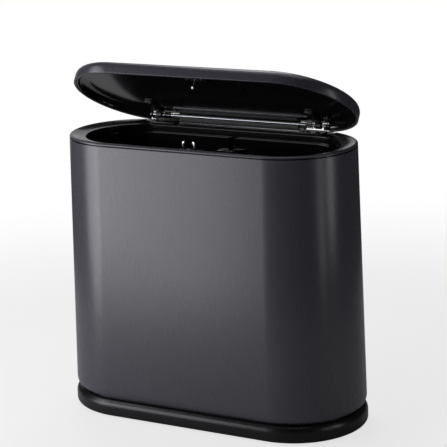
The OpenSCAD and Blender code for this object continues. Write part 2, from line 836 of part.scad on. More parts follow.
// Jaw that swings in over the striker's head, drawn open
module latch_jaw() {
    tip = jaw_z + jaw_rise;
    translate([0, latch_y + jaw_t / 2, 0])
        rotate([90, 0, 0])
            difference() {
                union() {
                    translate([jaw_pin_x, jaw_z, 0])
                        cylinder(r = jaw_boss_r, h = jaw_t);
                    linear_extrude(jaw_t)
                        polygon([[jaw_pin_x - 1.3, jaw_z - 0.4], [jaw_pin_x - 0.6, jaw_z + 6],
                                 [jaw_pin_x - 0.3, tip - 3], [jaw_pin_x - 1.5, tip - 2.6],
                                 [jaw_pin_x - 1.5, tip - 1.4], [jaw_pin_x - 0.2, tip],
                                 [jaw_pin_x + 1.4, tip - 0.6], [jaw_pin_x + 1.9, tip - 3],
                                 [jaw_pin_x + 1.9, jaw_z + 6], [jaw_pin_x + 1.6, jaw_z - 0.4]]);
                }
                translate([jaw_pin_x, jaw_z, -cut])
                    cylinder(d = jaw_pin_d + 2 * fit_gap, h = jaw_t + 2 * cut);
            }
}

module latch_jaw_left() {
    color(bright_steel) side(-1) latch_jaw();
}

module latch_jaw_right() {
    color(bright_steel) side(1) latch_jaw();
}

module jaw_pins() {
    color(zinc)
        at_both_sides(jaw_pin_x)
            translate([0, cover_y + cover_t, jaw_z])
                rotate([90, 0, 0])
                    cylinder(d = jaw_pin_d, h = cover_y + cover_t + lip_r - 0.8);
}

outer_shell();
base_plinth();
foot_pads();
base_screws();
inner_bucket();
rim_collar();
hinge_bracket_left();
hinge_bracket_right();
bracket_screws();
hinge_rod();
rod_clips();
torsion_spring_left();
torsion_spring_right();
hinge_arm_left();
hinge_arm_right();
arm_screws();
lid_shell();
lid_liner();
lid_striker();
striker_screws();
latch_housing();
latch_cover();
latch_screws();
latch_plunger();
latch_spring();
latch_jaw_left();
latch_jaw_right();
jaw_pins();
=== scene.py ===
import math
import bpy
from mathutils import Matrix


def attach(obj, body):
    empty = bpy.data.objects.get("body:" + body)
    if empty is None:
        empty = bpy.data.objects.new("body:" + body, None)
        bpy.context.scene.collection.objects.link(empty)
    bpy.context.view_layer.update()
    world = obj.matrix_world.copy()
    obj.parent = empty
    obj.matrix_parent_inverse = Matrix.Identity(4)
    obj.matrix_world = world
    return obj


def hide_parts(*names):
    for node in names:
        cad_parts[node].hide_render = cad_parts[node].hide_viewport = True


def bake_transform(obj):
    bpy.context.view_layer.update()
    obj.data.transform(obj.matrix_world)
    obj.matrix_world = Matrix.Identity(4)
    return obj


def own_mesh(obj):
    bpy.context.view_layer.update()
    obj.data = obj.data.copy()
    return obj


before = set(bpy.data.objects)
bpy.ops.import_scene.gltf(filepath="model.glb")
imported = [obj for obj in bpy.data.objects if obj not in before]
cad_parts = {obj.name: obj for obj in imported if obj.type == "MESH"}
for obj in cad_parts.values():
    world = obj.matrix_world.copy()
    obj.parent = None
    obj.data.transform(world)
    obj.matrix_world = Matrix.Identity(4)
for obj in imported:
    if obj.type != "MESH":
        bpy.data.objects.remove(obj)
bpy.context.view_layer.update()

from types import SimpleNamespace

import bmesh
import bpy
from bpy.props import FloatProperty, FloatVectorProperty, PointerProperty
from bpy.types import Operator, Panel, PropertyGroup
from mathutils import Matrix, Vector

bl_info = {
    "name": "Push top countertop bin",
    "version": (1, 0, 0),
    "blender": (4, 5, 0),
    "location": "3D View > Sidebar > Bin",
    "description": "Builds the looks of a push top countertop bin around its packed CAD frame",
    "category": "Object",
}

X, Y, Z = Vector((1, 0, 0)), Vector((0, 1, 0)), Vector((0, 0, 1))
SIDES = (-1, 1)
NAMED_SIDES = ((-1, "left"), (1, "right"))
CORNERS = [(x, y) for x in SIDES for y in SIDES]
IMAGE_W = 447
SENSOR_MM = 36


def linear(code):
    """Linear RGB of an sRGB hex colour."""
    parts = [int(code[i : i + 2], 16) / 255 for i in (1, 3, 5)]
    return tuple(c / 12.92 if c <= 0.04045 else ((c + 0.055) / 1.055) ** 2.4 for c in parts)


def length(name, description, mm):
    """A size that is given in millimetres and kept in metres."""
    return FloatProperty(
        name=name, description=description, default=mm / 1000, subtype="DISTANCE", unit="LENGTH", precision=4
    )


def angle(name, description, degrees):
    """An angle that is given in degrees and kept in radians."""
    return FloatProperty(
        name=name, description=description, default=math.radians(degrees), subtype="ANGLE", unit="ROTATION"
    )


def colour(name, description, code):
    return FloatVectorProperty(
        name=name, description=description, default=linear(code), subtype="COLOR", size=3, min=0, max=1
    )


def power(name, description, watts):
    return FloatProperty(name=name, description=description, default=watts, unit="POWER")


def number(name, description, value):
    return FloatProperty(name=name, description=description, default=value)


class BinBodySizes(PropertyGroup):
    body_w: length("Width", "Width of the body at its top edge", 300)
    body_d: length("Depth", "Depth of the body at its top edge", 128)
    top: length("Height of the shell", "Height of the shell's top edge above the table", 275)
    draft: angle("Draft", "Outward slope of the sides from top to bottom", 1.25)
    wall: length("Shell wall", "Thickness of the outer shell", 2.4)
    round_h: length("Bottom rounding, height", "Height of the rounding at the shell's bottom edge", 8)
    round_in: length("Bottom rounding, depth", "How far the shell's bottom edge turns in", 4.6)
    foot_gap: length("Foot gap", "Gap that the feet leave under the plinth", 1.5)
    plinth_top: length("Plinth height", "Height of the plinth's top face", 18.5)
    notch: length("Shadow gap", "Gap between plinth and shell", 1.5)
    plinth_out: length("Plinth bulge", "How far the plinth stands out past the shell", 0.9)
    foot_d: length("Foot diameter", "Diameter of a rubber foot", 16)
    foot_x: length("Foot distance, sideways", "Distance of the feet from the middle, left to right", 100)
    foot_y: length("Foot distance, depth", "Distance of the feet from the middle, front to back", 40)
    base_screw_x: length("Base screw distance", "Distance of the base screws from the middle", 70)


class BinCollarSizes(PropertyGroup):
    seam: length("Seam", "Open seam between the shell and the collar", 0.8)
    ridge_h: length("Ridge height", "Height of the collar's ridge above the shell", 3.2)
    ridge_in: length("Ridge distance", "Distance of the ridge from the outer face", 2.4)
    collar_w: length("Collar width", "Width of the collar from the outer face to the opening", 16)
    lip_drop: length("Lip depth", "Depth of the inner lip below the shell's edge", 17)
    plug_h: length("Plug depth", "Depth of the plug that enters the shell", 12)
    collar_wall: length("Collar wall", "Thickness of the collar's lip and plug", 2.3)
    bucket_wall: length("Bucket wall", "Thickness of the inner bucket", 1.8)
    bucket_gap: length("Bucket gap", "Gap between the bucket's rim and the collar's lip", 1.2)
    bucket_drop: length("Bucket rim depth", "Depth of the bucket's rim below the shell's top edge", 7)
    bucket_draft: angle("Bucket draft", "Slope of the bucket's sides", 1)
    lug_w: length("Lug width", "Width of the finger lug on the bucket's rear wall", 24)
    lug_drop: length("Lug depth", "Depth of the finger lug below the bucket's rim", 11)


class BinLidSizes(PropertyGroup):
    opening: angle("Lid angle", "Angle at which the lid stands open", 32)
    lid_inset: length("Lid inset", "How far the lid stands inside the body's top edge", 0.6)
    lid_gap: length("Lid gap", "Gap between the shut lid and the collar's ridge", 1.4)
    lid_edge: length("Lid edge", "Height of the lid's edge", 12.8)
    lid_crown: length("Lid crown", "Height of the crown in the middle of the lid", 1.2)
    lid_wall: length("Lid wall", "Thickness of the lid's outer shell", 2.2)
    liner_wall: length("Lid panel", "Thickness of the lid's inner panel", 1.6)


class BinHingeSizes(PropertyGroup):
    hinge_in: length("Hinge distance", "Distance of the hinge axis inside the rear face", 7)
    hinge_rise: length("Hinge height", "Height of the hinge axis above the shell's top edge", 8.8)
    rod_d: length("Rod diameter", "Diameter of the hinge rod", 3)
    block_in: length("Hinge block start", "Distance of a block's inner end from the straight side's end", 17)
    block_len: length("Hinge block length", "Length of each hinge block", 27.5)
    ear_t: length("Ear thickness", "Thickness of a hinge block's ears", 2.5)
    coil_d: length("Coil diameter", "Mean diameter of the torsion spring's coil", 5.8)
    coil_wire: length("Coil wire", "Thickness of the torsion spring's wire", 1)
    coil_pitch: length("Coil pitch", "Step of the torsion spring's coil from turn to turn", 2)


class BinLatchSizes(PropertyGroup):
    housing_w: length("Housing width", "Width of the latch housing", 23)
    housing_h: length("Housing height", "Height of the latch housing", 23)
    plunger_d: length("Plunger diameter", "Diameter of the latch plunger", 4.8)
    plunger_travel: length("Plunger travel", "Distance that a press moves the plunger", 2)
    jaw_pin_x: length("Jaw pin distance", "Distance of each jaw's pin from the middle", 5.2)
    jaw_t: length("Jaw thickness", "Thickness of a jaw, front to back", 3)
    striker_d: length("Striker diameter", "Diameter of the striker's head", 4.8)


class BinFinishes(PropertyGroup):
    body: colour("Body", "Satin charcoal ABS of the shell and the collar's ring", "#3d3c42")
    lid: colour("Lid", "Satin charcoal ABS of the lid", "#35343b")
    plinth: colour("Plinth", "Semi-gloss black ABS of the plinth", "#0e0e10")
    inner: colour("Inner parts", "Gloss black ABS of the funnel, the bucket and the lid's panel", "#0c0b0c")
    hinge: colour("Hinge parts", "Black glass-filled nylon of hinge, latch housing and striker", "#161617")
    steel: colour("Bright steel", "Drawn stainless steel of rod, jaws, latch spring and striker", "#9a9ca0")
    zinc: colour("Zinc", "Zinc plating on screws, clips, pins and plunger", "#6e7276")
    dark: colour("Black oxide", "Blackened steel of the torsion springs and the hinge's screws", "#2c2c2f")
    rubber: colour("Rubber", "Nitrile rubber of the feet", "#1a1a1a")
    floor: colour("Floor", "Pale floor under the bin", "#d2d2d2")


class BinStage(PropertyGroup):
    azimuth: angle("Camera azimuth", "Angle of the camera round the bin", 28.6104)
    elevation: angle("Camera elevation", "Angle of the camera above the horizon", 14.4993)
    roll: angle("Camera roll", "Turn of the camera about its own axis", -1.9397)
    distance: length("Camera distance", "Distance of the camera from the pivot", 1680.96)
    pivot: length("Pivot height", "Height of the point that the camera is aimed from", 137.5)
    focal: number("Focal length in pixels", "Focal length for an image 447 pixels wide", 1700)
    centre_u: number("Pivot column", "Pixel column of the pivot", 215.2016)
    centre_v: number("Pivot row", "Pixel row of the pivot", 276.03)
    key: power("Key light", "Power of the soft light on the left", 3.9)
    front: power("Front light", "Power of the soft light at the front's left", 2.9)
    band: power("Band lights", "Power of each narrow light on the left", 1.1)
    strip: power("Strip lights", "Power of the narrow lights on the right", 0.8)
    back: power("Back light", "Power of the soft light behind on the left", 1.0)
    high: power("High light", "Power of the soft light high behind", 4)
    top: power("Top light", "Power of the soft light above", 3)
    around: number("Surroundings", "Strength of the plain light from all around", 0.03)


SIZES = {
    "bin_body": BinBodySizes,
    "bin_collar": BinCollarSizes,
    "bin_lid": BinLidSizes,
    "bin_hinge": BinHingeSizes,
    "bin_latch": BinLatchSizes,
}
GROUPS = {**SIZES, "bin_finishes": BinFinishes, "bin_stage": BinStage}


def plan():
    """All sizes in millimetres and degrees, with those that follow from them."""
    s = SimpleNamespace()
    for name in SIZES:
        group = getattr(bpy.context.scene, name)
        for p in group.bl_rna.properties:
            if p.type == "FLOAT":
                value = getattr(group, p.identifier)
                setattr(s, p.identifier, math.degrees(value) if p.subtype == "ANGLE" else 1000 * value)
    # Body, its plan two half rounds joined by straight sides
    s.straight = (s.body_w - s.body_d) / 2
    s.top_r = s.body_d / 2
    s.body_r = lambda z: s.top_r + (s.top - z) * math.tan(math.radians(s.draft))
    s.shell_z = s.plinth_top + s.notch
    s.round_z = s.shell_z + s.round_h
    s.turn_r = s.body_r(s.round_z) - s.round_in
    s.mouth_r = s.turn_r - 1
    s.seat_z = s.top - s.plug_h - 0.3
    # Plinth, with a brow below the shadow gap and a neck inside the shell
    s.plinth_r = s.body_r(s.shell_z) + s.plinth_out
    s.brow_w, s.brow_h = s.plinth_r - s.turn_r + 0.7, 7.5
    s.plinth_wall, s.plinth_edge = 2.6, 3.5
    s.neck_r, s.neck_top, s.neck_wall = s.mouth_r - 0.3, s.shell_z + s.wall + 1, 2.4
    s.floor_z, s.foot_recess = s.foot_gap + 3, 1.5
    s.base_screw_y, s.base_head_z = s.mouth_r - 7, s.foot_gap + 10
    s.pillar_r, s.boss_r, s.boss_z, s.boss_h = 5.5, 4.5, s.neck_top + 0.6, 20
    # Collar
    s.lip_r = s.top_r - s.collar_w
    s.collar_z, s.ridge_z = s.top + s.seam, s.top + s.ridge_h
    s.lip_z, s.edge_z, s.ceiling_z = s.top - s.lip_drop, s.top + 0.2, s.top - 2
    s.plug_r, s.plug_z = s.top_r - s.wall - 0.15, s.top - s.plug_h
    # Bucket
    s.bucket_z, s.bucket_top = s.floor_z + 0.3, s.top - s.bucket_drop
    s.rim_r = s.lip_r - s.bucket_gap
    s.bucket_r = s.rim_r - 1.5
    s.bucket_out = lambda z: s.bucket_r - (s.bucket_top - z) * math.tan(math.radians(s.bucket_draft))
    s.lug_z = s.bucket_top - s.lug_drop
    # Latch
    s.latch_y = -(s.lip_r - 6.5)
    s.flange_w, s.flange_t = s.housing_w + 12, 2
    s.housing_back = -s.lip_r + 10.6
    s.cover_y, s.cover_t = s.housing_back + 0.1, 1.6
    s.housing_top = s.top - 1.5
    s.housing_z, s.housing_floor = s.housing_top - s.housing_h, 2
    s.jaw_z, s.jaw_h = s.top - 7, 14
    s.plunger_top, s.plunger_foot = s.top - 0.4, s.housing_z + 11.5
    s.latch_screw_x, s.latch_screw_z = s.housing_w / 2 + 3, s.housing_top - 10.5
    s.rebate_w, s.rebate_y = s.flange_w + 3, s.cover_y + s.cover_t + 1.1
    # Hinge
    s.hinge_y, s.hinge_z = s.top_r - s.hinge_in, s.top + s.hinge_rise
    s.block_x = s.straight - s.block_in
    s.block_end = s.block_x + s.block_len
    s.rod_half, s.clip_x, s.clip_t = s.block_end + 3.5, s.block_end + 1, 0.8
    s.ear_r, s.knuckle_r, s.knuckle_w = 3.6, 3.4, 6.5
    s.knuckle_x = s.block_end - s.ear_t - 1.5 - s.knuckle_w
    s.pad_z, s.pad_t = s.collar_z + 0.6, 1.2
    s.pad_front, s.pad_back = s.lip_r + 1.8, s.hinge_y + 4
    s.bracket_screw_y = s.lip_r + 4.2
    s.bracket_screws = (s.block_x + 11, s.block_end - 6.5)
    s.arm_x, s.arm_w, s.arm_t = s.knuckle_x + s.knuckle_w / 2, 8, 2
    s.coil_from, s.coil_to = -70, 90 - s.opening + 1440
    s.coil_long = s.coil_pitch * (s.coil_to - s.coil_from) / 360
    s.coil_x = s.arm_x - s.arm_w / 2 - 0.5 - s.coil_wire / 2 - s.coil_long
    # Lid, drawn shut
    s.lid_r, s.lid_z = s.top_r - s.lid_inset, s.ridge_z + s.lid_gap
    s.corner_w, s.corner_h = 5.2, 6.2
    s.lid_top = s.lid_z + s.lid_edge
    s.shoulder = s.lid_top - s.corner_h
    s.edge_r = s.lid_r - s.corner_w
    s.crown_at = lambda r: s.lid_top + s.lid_crown * (1 - (r / s.edge_r) ** 2)
    s.liner_r, s.liner_z = s.lid_r - s.lid_wall - 0.15, s.lid_z + 0.9
    s.panel_z = s.hinge_z + 4
    s.panel_top = s.panel_z + s.liner_wall
    s.arm_front = s.hinge_y - 29
    s.arm_screws = (s.arm_front + 5, s.arm_front + 17)
    s.striker_z, s.striker_plate_t, s.striker_screw_x = s.plunger_top + 1.5, 2, 7.5
    # Troughs in the collar that the lid's rear edge turns in, behind and at the ends
    lid_rise = s.hinge_z - s.lid_z
    s.trough_r = math.hypot(s.lid_r - s.hinge_y, lid_rise) + 0.4
    s.trough_end_r = math.hypot(math.sqrt(s.lid_r**2 - 12**2) - s.hinge_y, lid_rise) + 0.3
    hinge = Vector((0, s.hinge_y, s.hinge_z)) / 1000
    turn = Matrix.Rotation(-math.radians(s.opening), 4, "X")
    s.opened = Matrix.Translation(hinge) @ turn @ Matrix.Translation(-hinge)
    return s


# Shapes, in millimetres


def arc(cx, cy, rx, ry, start, end, steps=8):
    turns = [math.radians(start + (end - start) * i / steps) for i in range(steps + 1)]
    return [(cx + rx * math.cos(t), cy + ry * math.sin(t)) for t in turns]


def disc(r, low, high):
    """Outline of a plain cylinder, or of a plain slab when it is swept."""
    return [(0, low), (r, low), (r, high), (0, high)]


def rounded(shape, size, steps=2):
    """Rounds every hard edge of a shape."""
    if size:
        hard = [e for e in shape.edges if len(e.link_faces) == 2 and e.calc_face_angle() > 0.5]
        settings = {"segments": steps, "profile": 0.5, "affect": "EDGES", "clamp_overlap": True}
        bmesh.ops.bevel(shape, geom=hard, offset=size, **settings)
    return shape


def slab(x0, x1, y0, y1, z0, z1, edge=0.3):
    shape = bmesh.new()
    bmesh.ops.create_cube(shape, size=1)
    middle = Vector((x0 + x1, y0 + y1, z0 + z1)) / 2
    size = Matrix.Diagonal((x1 - x0, y1 - y0, z1 - z0, 1))
    bmesh.ops.transform(shape, matrix=Matrix.Translation(middle) @ size, verts=shape.verts)
    return rounded(shape, edge)


def prism(outline, axis, start, end, edge=0.25):
    """An outline given in the two other axes, drawn out along x or y."""
    shape = bmesh.new()
    place = (lambda a, b: (start, a, b)) if axis == "x" else (lambda a, b: (a, start, b))
    face = shape.faces.new([shape.verts.new(place(*p)) for p in outline])
    drawn = bmesh.ops.extrude_face_region(shape, geom=[face])
    far_end = [v for v in drawn["geom"] if isinstance(v, bmesh.types.BMVert)]
    bmesh.ops.translate(shape, vec=(X if axis == "x" else Y) * (end - start), verts=far_end)
    return rounded(shape, edge)


def turned(outline, place, way, steps=48):
    """An outline given as radius and distance, turned about a line from place along way."""
    shape = bmesh.new()
    verts = [shape.verts.new((r, 0, h)) for r, h in outline]
    geom = verts + [shape.edges.new(pair) for pair in zip(verts, verts[1:])]
    bmesh.ops.spin(shape, geom=geom, cent=(0, 0, 0), axis=Z, angle=2 * math.pi, steps=steps, use_merge=True)
    bmesh.ops.remove_doubles(shape, verts=shape.verts, dist=1e-4)
    turn = Vector(way).to_track_quat("Z", "Y").to_matrix().to_4x4()
    bmesh.ops.transform(shape, matrix=Matrix.Translation(place) @ turn, verts=shape.verts)
    return shape


def gather(*shapes):
    """Several shapes in one."""
    for other in shapes[1:]:
        part = bpy.data.meshes.new("part")
        other.to_mesh(part)
        other.free()
        shapes[0].from_mesh(part)
        bpy.data.meshes.remove(part)
    return shapes[0]


def mirrored(shape, side):
    """A shape drawn for the right, turned over for the left where side is negative."""
    if side < 0:
        bmesh.ops.transform(shape, matrix=Matrix.Diagonal((-1, 1, 1, 1)), verts=shape.verts)
        bmesh.ops.reverse_faces(shape, faces=shape.faces)
    return shape


def place_mesh(name, data):
    """An object for a mesh, curve, lamp or camera."""
    piece = bpy.data.objects.new(name, data)
    bpy.context.scene.collection.objects.link(piece)
    return piece


def made(name, shape):
    """An object from a shape in millimetres."""
    bmesh.ops.recalc_face_normals(shape, faces=shape.faces)
    mesh = bpy.data.meshes.new(name)
    shape.to_mesh(mesh)
    shape.free()
    mesh.transform(Matrix.Scale(0.001, 4))
    return place_mesh(name, mesh)


def settle(piece):
    """Turns a piece's modifiers into plain mesh."""
    seen = piece.evaluated_get(bpy.context.evaluated_depsgraph_get())
    mesh = bpy.data.meshes.new_from_object(seen)
    piece.modifiers.clear()
    piece.data = mesh
    return piece


def combine(piece, shape, operation="DIFFERENCE"):
    """Cuts a shape from a piece, or adds it."""
    tool = shape if isinstance(shape, bpy.types.Object) else made("tool", shape)
    change = piece.modifiers.new("change", "BOOLEAN")
    change.operation, change.solver, change.object = operation, "EXACT", tool
    settle(piece)
    bpy.data.objects.remove(tool)
    return piece


def dress(piece, body, nodes, finish):
    """Finishes a piece and sets it on its body, or on none where it bends between two."""
    mesh = piece.data
    mesh.materials.clear()
    mesh.materials.append(finish)
    mesh.polygons.foreach_set("material_index", [0] * len(mesh.polygons))
    mesh.polygons.foreach_set("use_smooth", [True] * len(mesh.polygons))
    mesh.set_sharp_from_angle(angle=math.radians(32))
    mesh.update()
    if body:
        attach(piece, body)
    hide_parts(*nodes)
    return piece


# Node trees


def add(tree, kind, inputs=None, **settings):
    """Adds a node with its settings, and values, sockets or nodes for its inputs."""
    node = tree.nodes.new(kind)
    for key, value in settings.items():
        setattr(node, key, value)
    for key, value in (inputs or {}).items():
        if isinstance(value, bpy.types.Node):
            value = value.outputs[0]
        if isinstance(value, bpy.types.NodeSocket):
            tree.links.new(value, node.inputs[key])
        else:
            node.inputs[key].default_value = value
    return node


def new_tree(name, inputs):
    """A geometry tree with named inputs, and those inputs as sockets."""
    tree = bpy.data.node_groups.new(name, "GeometryNodeTree")
    tree.is_modifier = True
    for key, kind in {"Geometry": "Geometry", **inputs, "Finish": "Material"}.items():
        tree.interface.new_socket(key, in_out="INPUT", socket_type="NodeSocket" + kind)
    tree.interface.new_socket("Geometry", in_out="OUTPUT", socket_type="NodeSocketGeometry")
    return tree, add(tree, "NodeGroupInput").outputs


def close_tree(tree, shape, finish):
    """Ends a tree in plain mesh with its finish."""
    real = add(tree, "GeometryNodeRealizeInstances", {"Geometry": shape})
    painted = add(tree, "GeometryNodeSetMaterial", {"Geometry": real, "Material": finish})
    add(tree, "NodeGroupOutput", {0: painted})
    return tree


def round_plan_tree():
    """Sweeps a profile round a plan of two half circles and two straight sides."""
    sizes = {"Path radius": "Float", "Half straight": "Float", "Segments": "Int"}
    tree, given = new_tree("Round plan", {"Profile": "Object", **sizes})
    steps, radius = given["Segments"], given["Path radius"]
    ring = add(tree, "GeometryNodeCurvePrimitiveCircle", {"Resolution": steps, "Radius": radius})
    # Half a step of turn keeps every point off the middle plane, where it would belong to neither end
    half_step = add(tree, "ShaderNodeMath", {0: math.pi, 1: steps}, operation="DIVIDE")
    turn = add(tree, "ShaderNodeCombineXYZ", {"Z": half_step})
    turned_ring = add(tree, "GeometryNodeTransform", {"Geometry": ring, "Rotation": turn})
    place = add(tree, "ShaderNodeSeparateXYZ", {0: add(tree, "GeometryNodeInputPosition")})
    side = add(tree, "ShaderNodeMath", {0: place}, operation="SIGN")
    shift = add(tree, "ShaderNodeMath", {0: side, 1: given["Half straight"]}, operation="MULTIPLY")
    offset = add(tree, "ShaderNodeCombineXYZ", {"X": shift})
    path = add(tree, "GeometryNodeSetPosition", {"Geometry": turned_ring, "Offset": offset})
    upright = add(tree, "GeometryNodeSetCurveNormal", {"Curve": path}, mode="Z_UP")
    profile = add(tree, "GeometryNodeObjectInfo", {"Object": given["Profile"]}).outputs["Geometry"]
    swept = add(tree, "GeometryNodeCurveToMesh", {"Curve": upright, "Profile Curve": profile})
    return close_tree(tree, swept, given["Finish"])


def wound_wire_tree():
    """Wraps round wire about a path of edges."""
    tree, given = new_tree("Wound wire", {"Wire": "Float", "Sides": "Int"})
    path = add(tree, "GeometryNodeMeshToCurve", {"Mesh": given["Geometry"]})
    radius = add(tree, "ShaderNodeMath", {0: given["Wire"], 1: 0.5}, operation="MULTIPLY")
    ring = add(tree, "GeometryNodeCurvePrimitiveCircle", {"Resolution": given["Sides"], "Radius": radius})
    wire = add(tree, "GeometryNodeCurveToMesh", {"Curve": path, "Profile Curve": ring, "Fill Caps": True})
    return close_tree(tree, wire, given["Finish"])


def set_out_tree():
    """Sets one model at each point, turned the way that the point says."""
    tree, given = new_tree("Set out", {"Model": "Object"})
    way = add(tree, "GeometryNodeInputNamedAttribute", {"Name": "way"}, data_type="FLOAT_VECTOR")
    turn = add(tree, "FunctionNodeAlignRotationToVector", {"Vector": way}, axis="Z")
    model = add(tree, "GeometryNodeObjectInfo", {"Object": given["Model"]}).outputs["Geometry"]
    inputs = {"Points": given["Geometry"], "Instance": model, "Rotation": turn}
    copies = add(tree, "GeometryNodeInstanceOnPoints", inputs)
    return close_tree(tree, copies, given["Finish"])


def grown(name, tree, values, mesh=None):
    """Plain mesh from a geometry tree with its inputs set."""
    piece = place_mesh(name, mesh or bpy.data.meshes.new(name))
    change = piece.modifiers.new("shape", "NODES")
    change.node_group = tree
    sockets = {i.name: i.identifier for i in tree.interface.items_tree if i.in_out == "INPUT"}
    for key, value in values.items():
        change[sockets[key]] = value
    return settle(piece)


def swept(name, s, outline, finish, closed=True):
    """A profile of radius and height in millimetres, swept round the bin's plan."""
    tree = bpy.data.node_groups.get("Round plan") or round_plan_tree()
    curve = bpy.data.curves.new("profile", "CURVE")
    curve.dimensions = "3D"
    line = curve.splines.new("POLY")
    line.points.add(len(outline) - 1)
    for point, (r, z) in zip(line.points, outline):
        point.co = ((r - s.top_r) / 1000, -z / 1000, 0, 1)
    line.use_cyclic_u = closed
    profile = place_mesh("profile", curve)
    sizes = {"Path radius": s.top_r / 1000, "Half straight": s.straight / 1000, "Segments": 176}
    piece = grown(name, tree, {"Profile": profile, **sizes, "Finish": finish})
    bpy.data.objects.remove(profile)
    shape = bmesh.new()
    shape.from_mesh(piece.data)
    bmesh.ops.remove_doubles(shape, verts=shape.verts, dist=1e-6)
    bmesh.ops.dissolve_degenerate(shape, edges=shape.edges, dist=1e-7)
    bmesh.ops.recalc_face_normals(shape, faces=shape.faces)
    shape.to_mesh(piece.data)
    shape.free()
    return piece


def wound(name, path, wire, finish, sides=12):
    """Wire along a path in millimetres."""
    tree = bpy.data.node_groups.get("Wound wire") or wound_wire_tree()
    mesh = bpy.data.meshes.new(name)
    mesh.from_pydata([Vector(p) / 1000 for p in path], [(i, i + 1) for i in range(len(path) - 1)], [])
    return grown(name, tree, {"Wire": wire / 1000, "Sides": sides, "Finish": finish}, mesh)


def set_out(name, model, places, finish, turn=Matrix.Identity(4)):
    """Copies of a model at places in millimetres, each with the way that it points."""
    tree = bpy.data.node_groups.get("Set out") or set_out_tree()
    mesh = bpy.data.meshes.new(name)
    mesh.from_pydata([turn @ (Vector(place) / 1000) for place, way in places], [], [])
    ways = mesh.attributes.new("way", "FLOAT_VECTOR", "POINT")
    for item, (place, way) in zip(ways.data, places):
        item.vector = turn.to_3x3() @ Vector(way)
    piece = grown(name, tree, {"Model": model, "Finish": finish}, mesh)
    bpy.data.objects.remove(model)
    return piece


# Materials


def new_finish(name, roughness, metallic=0.0, ior=1.5, mirror=0.5):
    """A material with its tree, and coordinates fixed to the piece."""
    material = bpy.data.materials.new(name)
    material.use_nodes = True
    tree = material.node_tree
    shader = tree.nodes["Principled BSDF"].inputs
    shader["Roughness"].default_value = roughness
    shader["Metallic"].default_value = metallic
    shader["IOR"].default_value = ior
    shader["Specular IOR Level"].default_value = mirror
    return material, tree, add(tree, "ShaderNodeTexCoord").outputs["Object"]


def vary(tree, colour, tone, rough, bump):
    """Lets patterns shift a finish's colour, roughness and height."""
    shader = tree.nodes["Principled BSDF"].inputs
    pattern, amount = tone
    lighter = [min(1, c * (1 + amount) + 0.001 * amount) for c in colour]
    colours = {"Factor": pattern, 6: (*colour, 1), 7: (*lighter, 1)}
    mix = add(tree, "ShaderNodeMix", colours, data_type="RGBA")
    tree.links.new(mix.outputs[2], shader["Base Color"])
    keys = ("Value", "To Min", "To Max", "From Min", "From Max")
    spread = add(tree, "ShaderNodeMapRange", dict(zip(keys, rough)))
    tree.links.new(spread.outputs[0], shader["Roughness"])
    relief = add(tree, "ShaderNodeBump", dict(zip(("Height", "Strength", "Distance"), bump)))
    tree.links.new(relief.outputs[0], shader["Normal"])


def satin_abs(name, colour):
    """ABS moulded in a spark-eroded tool: a fine even grit and a broad soft sheen."""
    # The grit scatters part of the mirror light
    material, tree, where = new_finish(name, 0.3, ior=1.53, mirror=0.4)
    # Grit of 0.5 mm, drawn a little coarser than the real 0.2 mm so that it shows
    grit = add(tree, "ShaderNodeTexNoise", {"Vector": where, "Scale": 2000, "Detail": 2, "Roughness": 0.6})
    # Slow drift of the sheen over 60 mm, from handling
    drift = add(tree, "ShaderNodeTexNoise", {"Vector": where, "Scale": 16, "Detail": 3})
    # Upright rubs 3 mm wide, from wiping
    stretched = add(tree, "ShaderNodeMapping", {"Vector": where, "Scale": (1, 1, 0.12)})
    rubs = add(tree, "ShaderNodeTexNoise", {"Vector": stretched, "Scale": 320, "Detail": 1})
    wear = add(tree, "ShaderNodeMath", {0: rubs, 1: 0.3, 2: drift}, operation="MULTIPLY_ADD")
    vary(tree, colour, (wear, 0.05), (wear, 0.26, 0.285, 0.4, 0.9), (grit, 0.25, 0.00004))
    return material


def gloss_abs(name, colour, roughness, mirror=0.5):
    """ABS from a polished tool: mirror-like, with faint flow waves and hair scratches."""
    material, tree, where = new_finish(name, roughness, ior=1.53, mirror=mirror)
    # Waves of 12 mm from the melt's flow
    flow = add(tree, "ShaderNodeTexNoise", {"Vector": where, "Scale": 80, "Detail": 1})
    # Hair scratches 0.4 mm apart along the piece
    slant = {"Vector": where, "Scale": (0.05, 1, 1), "Rotation": (0, 0, 0.3)}
    combed = add(tree, "ShaderNodeMapping", slant)
    hair = add(tree, "ShaderNodeTexNoise", {"Vector": combed, "Scale": 2400, "Detail": 2})
    vary(tree, colour, (flow, 0.25), (hair, roughness, roughness + 0.1, 0.35, 0.75), (flow, 0.25, 0.00003))
    return material


def filled_nylon(name, colour):
    """Glass-filled nylon: black and dull, with paler fibre flecks."""
    material, tree, where = new_finish(name, 0.42, ior=1.53)
    # Flecks of 0.4 mm
    fleck = add(tree, "ShaderNodeTexNoise", {"Vector": where, "Scale": 2500, "Detail": 3, "Roughness": 0.7})
    vary(tree, colour, (fleck, 0.8), (fleck, 0.34, 0.5), (fleck, 0.4, 0.00004))
    return material


def drawn_steel(name, colour):
    """Bright stainless wire and strip: drawn through a die, with fine lines along its run."""
    material, tree, where = new_finish(name, 0.2, metallic=1)
    # Draw lines 0.15 mm apart along X
    drawn = add(tree, "ShaderNodeMapping", {"Vector": where, "Scale": (0.02, 1, 1)})
    lines = add(tree, "ShaderNodeTexNoise", {"Vector": drawn, "Scale": 6500, "Detail": 2})
    vary(tree, colour, (lines, 0.1), (lines, 0.14, 0.3), (lines, 0.2, 0.00001))
    return material


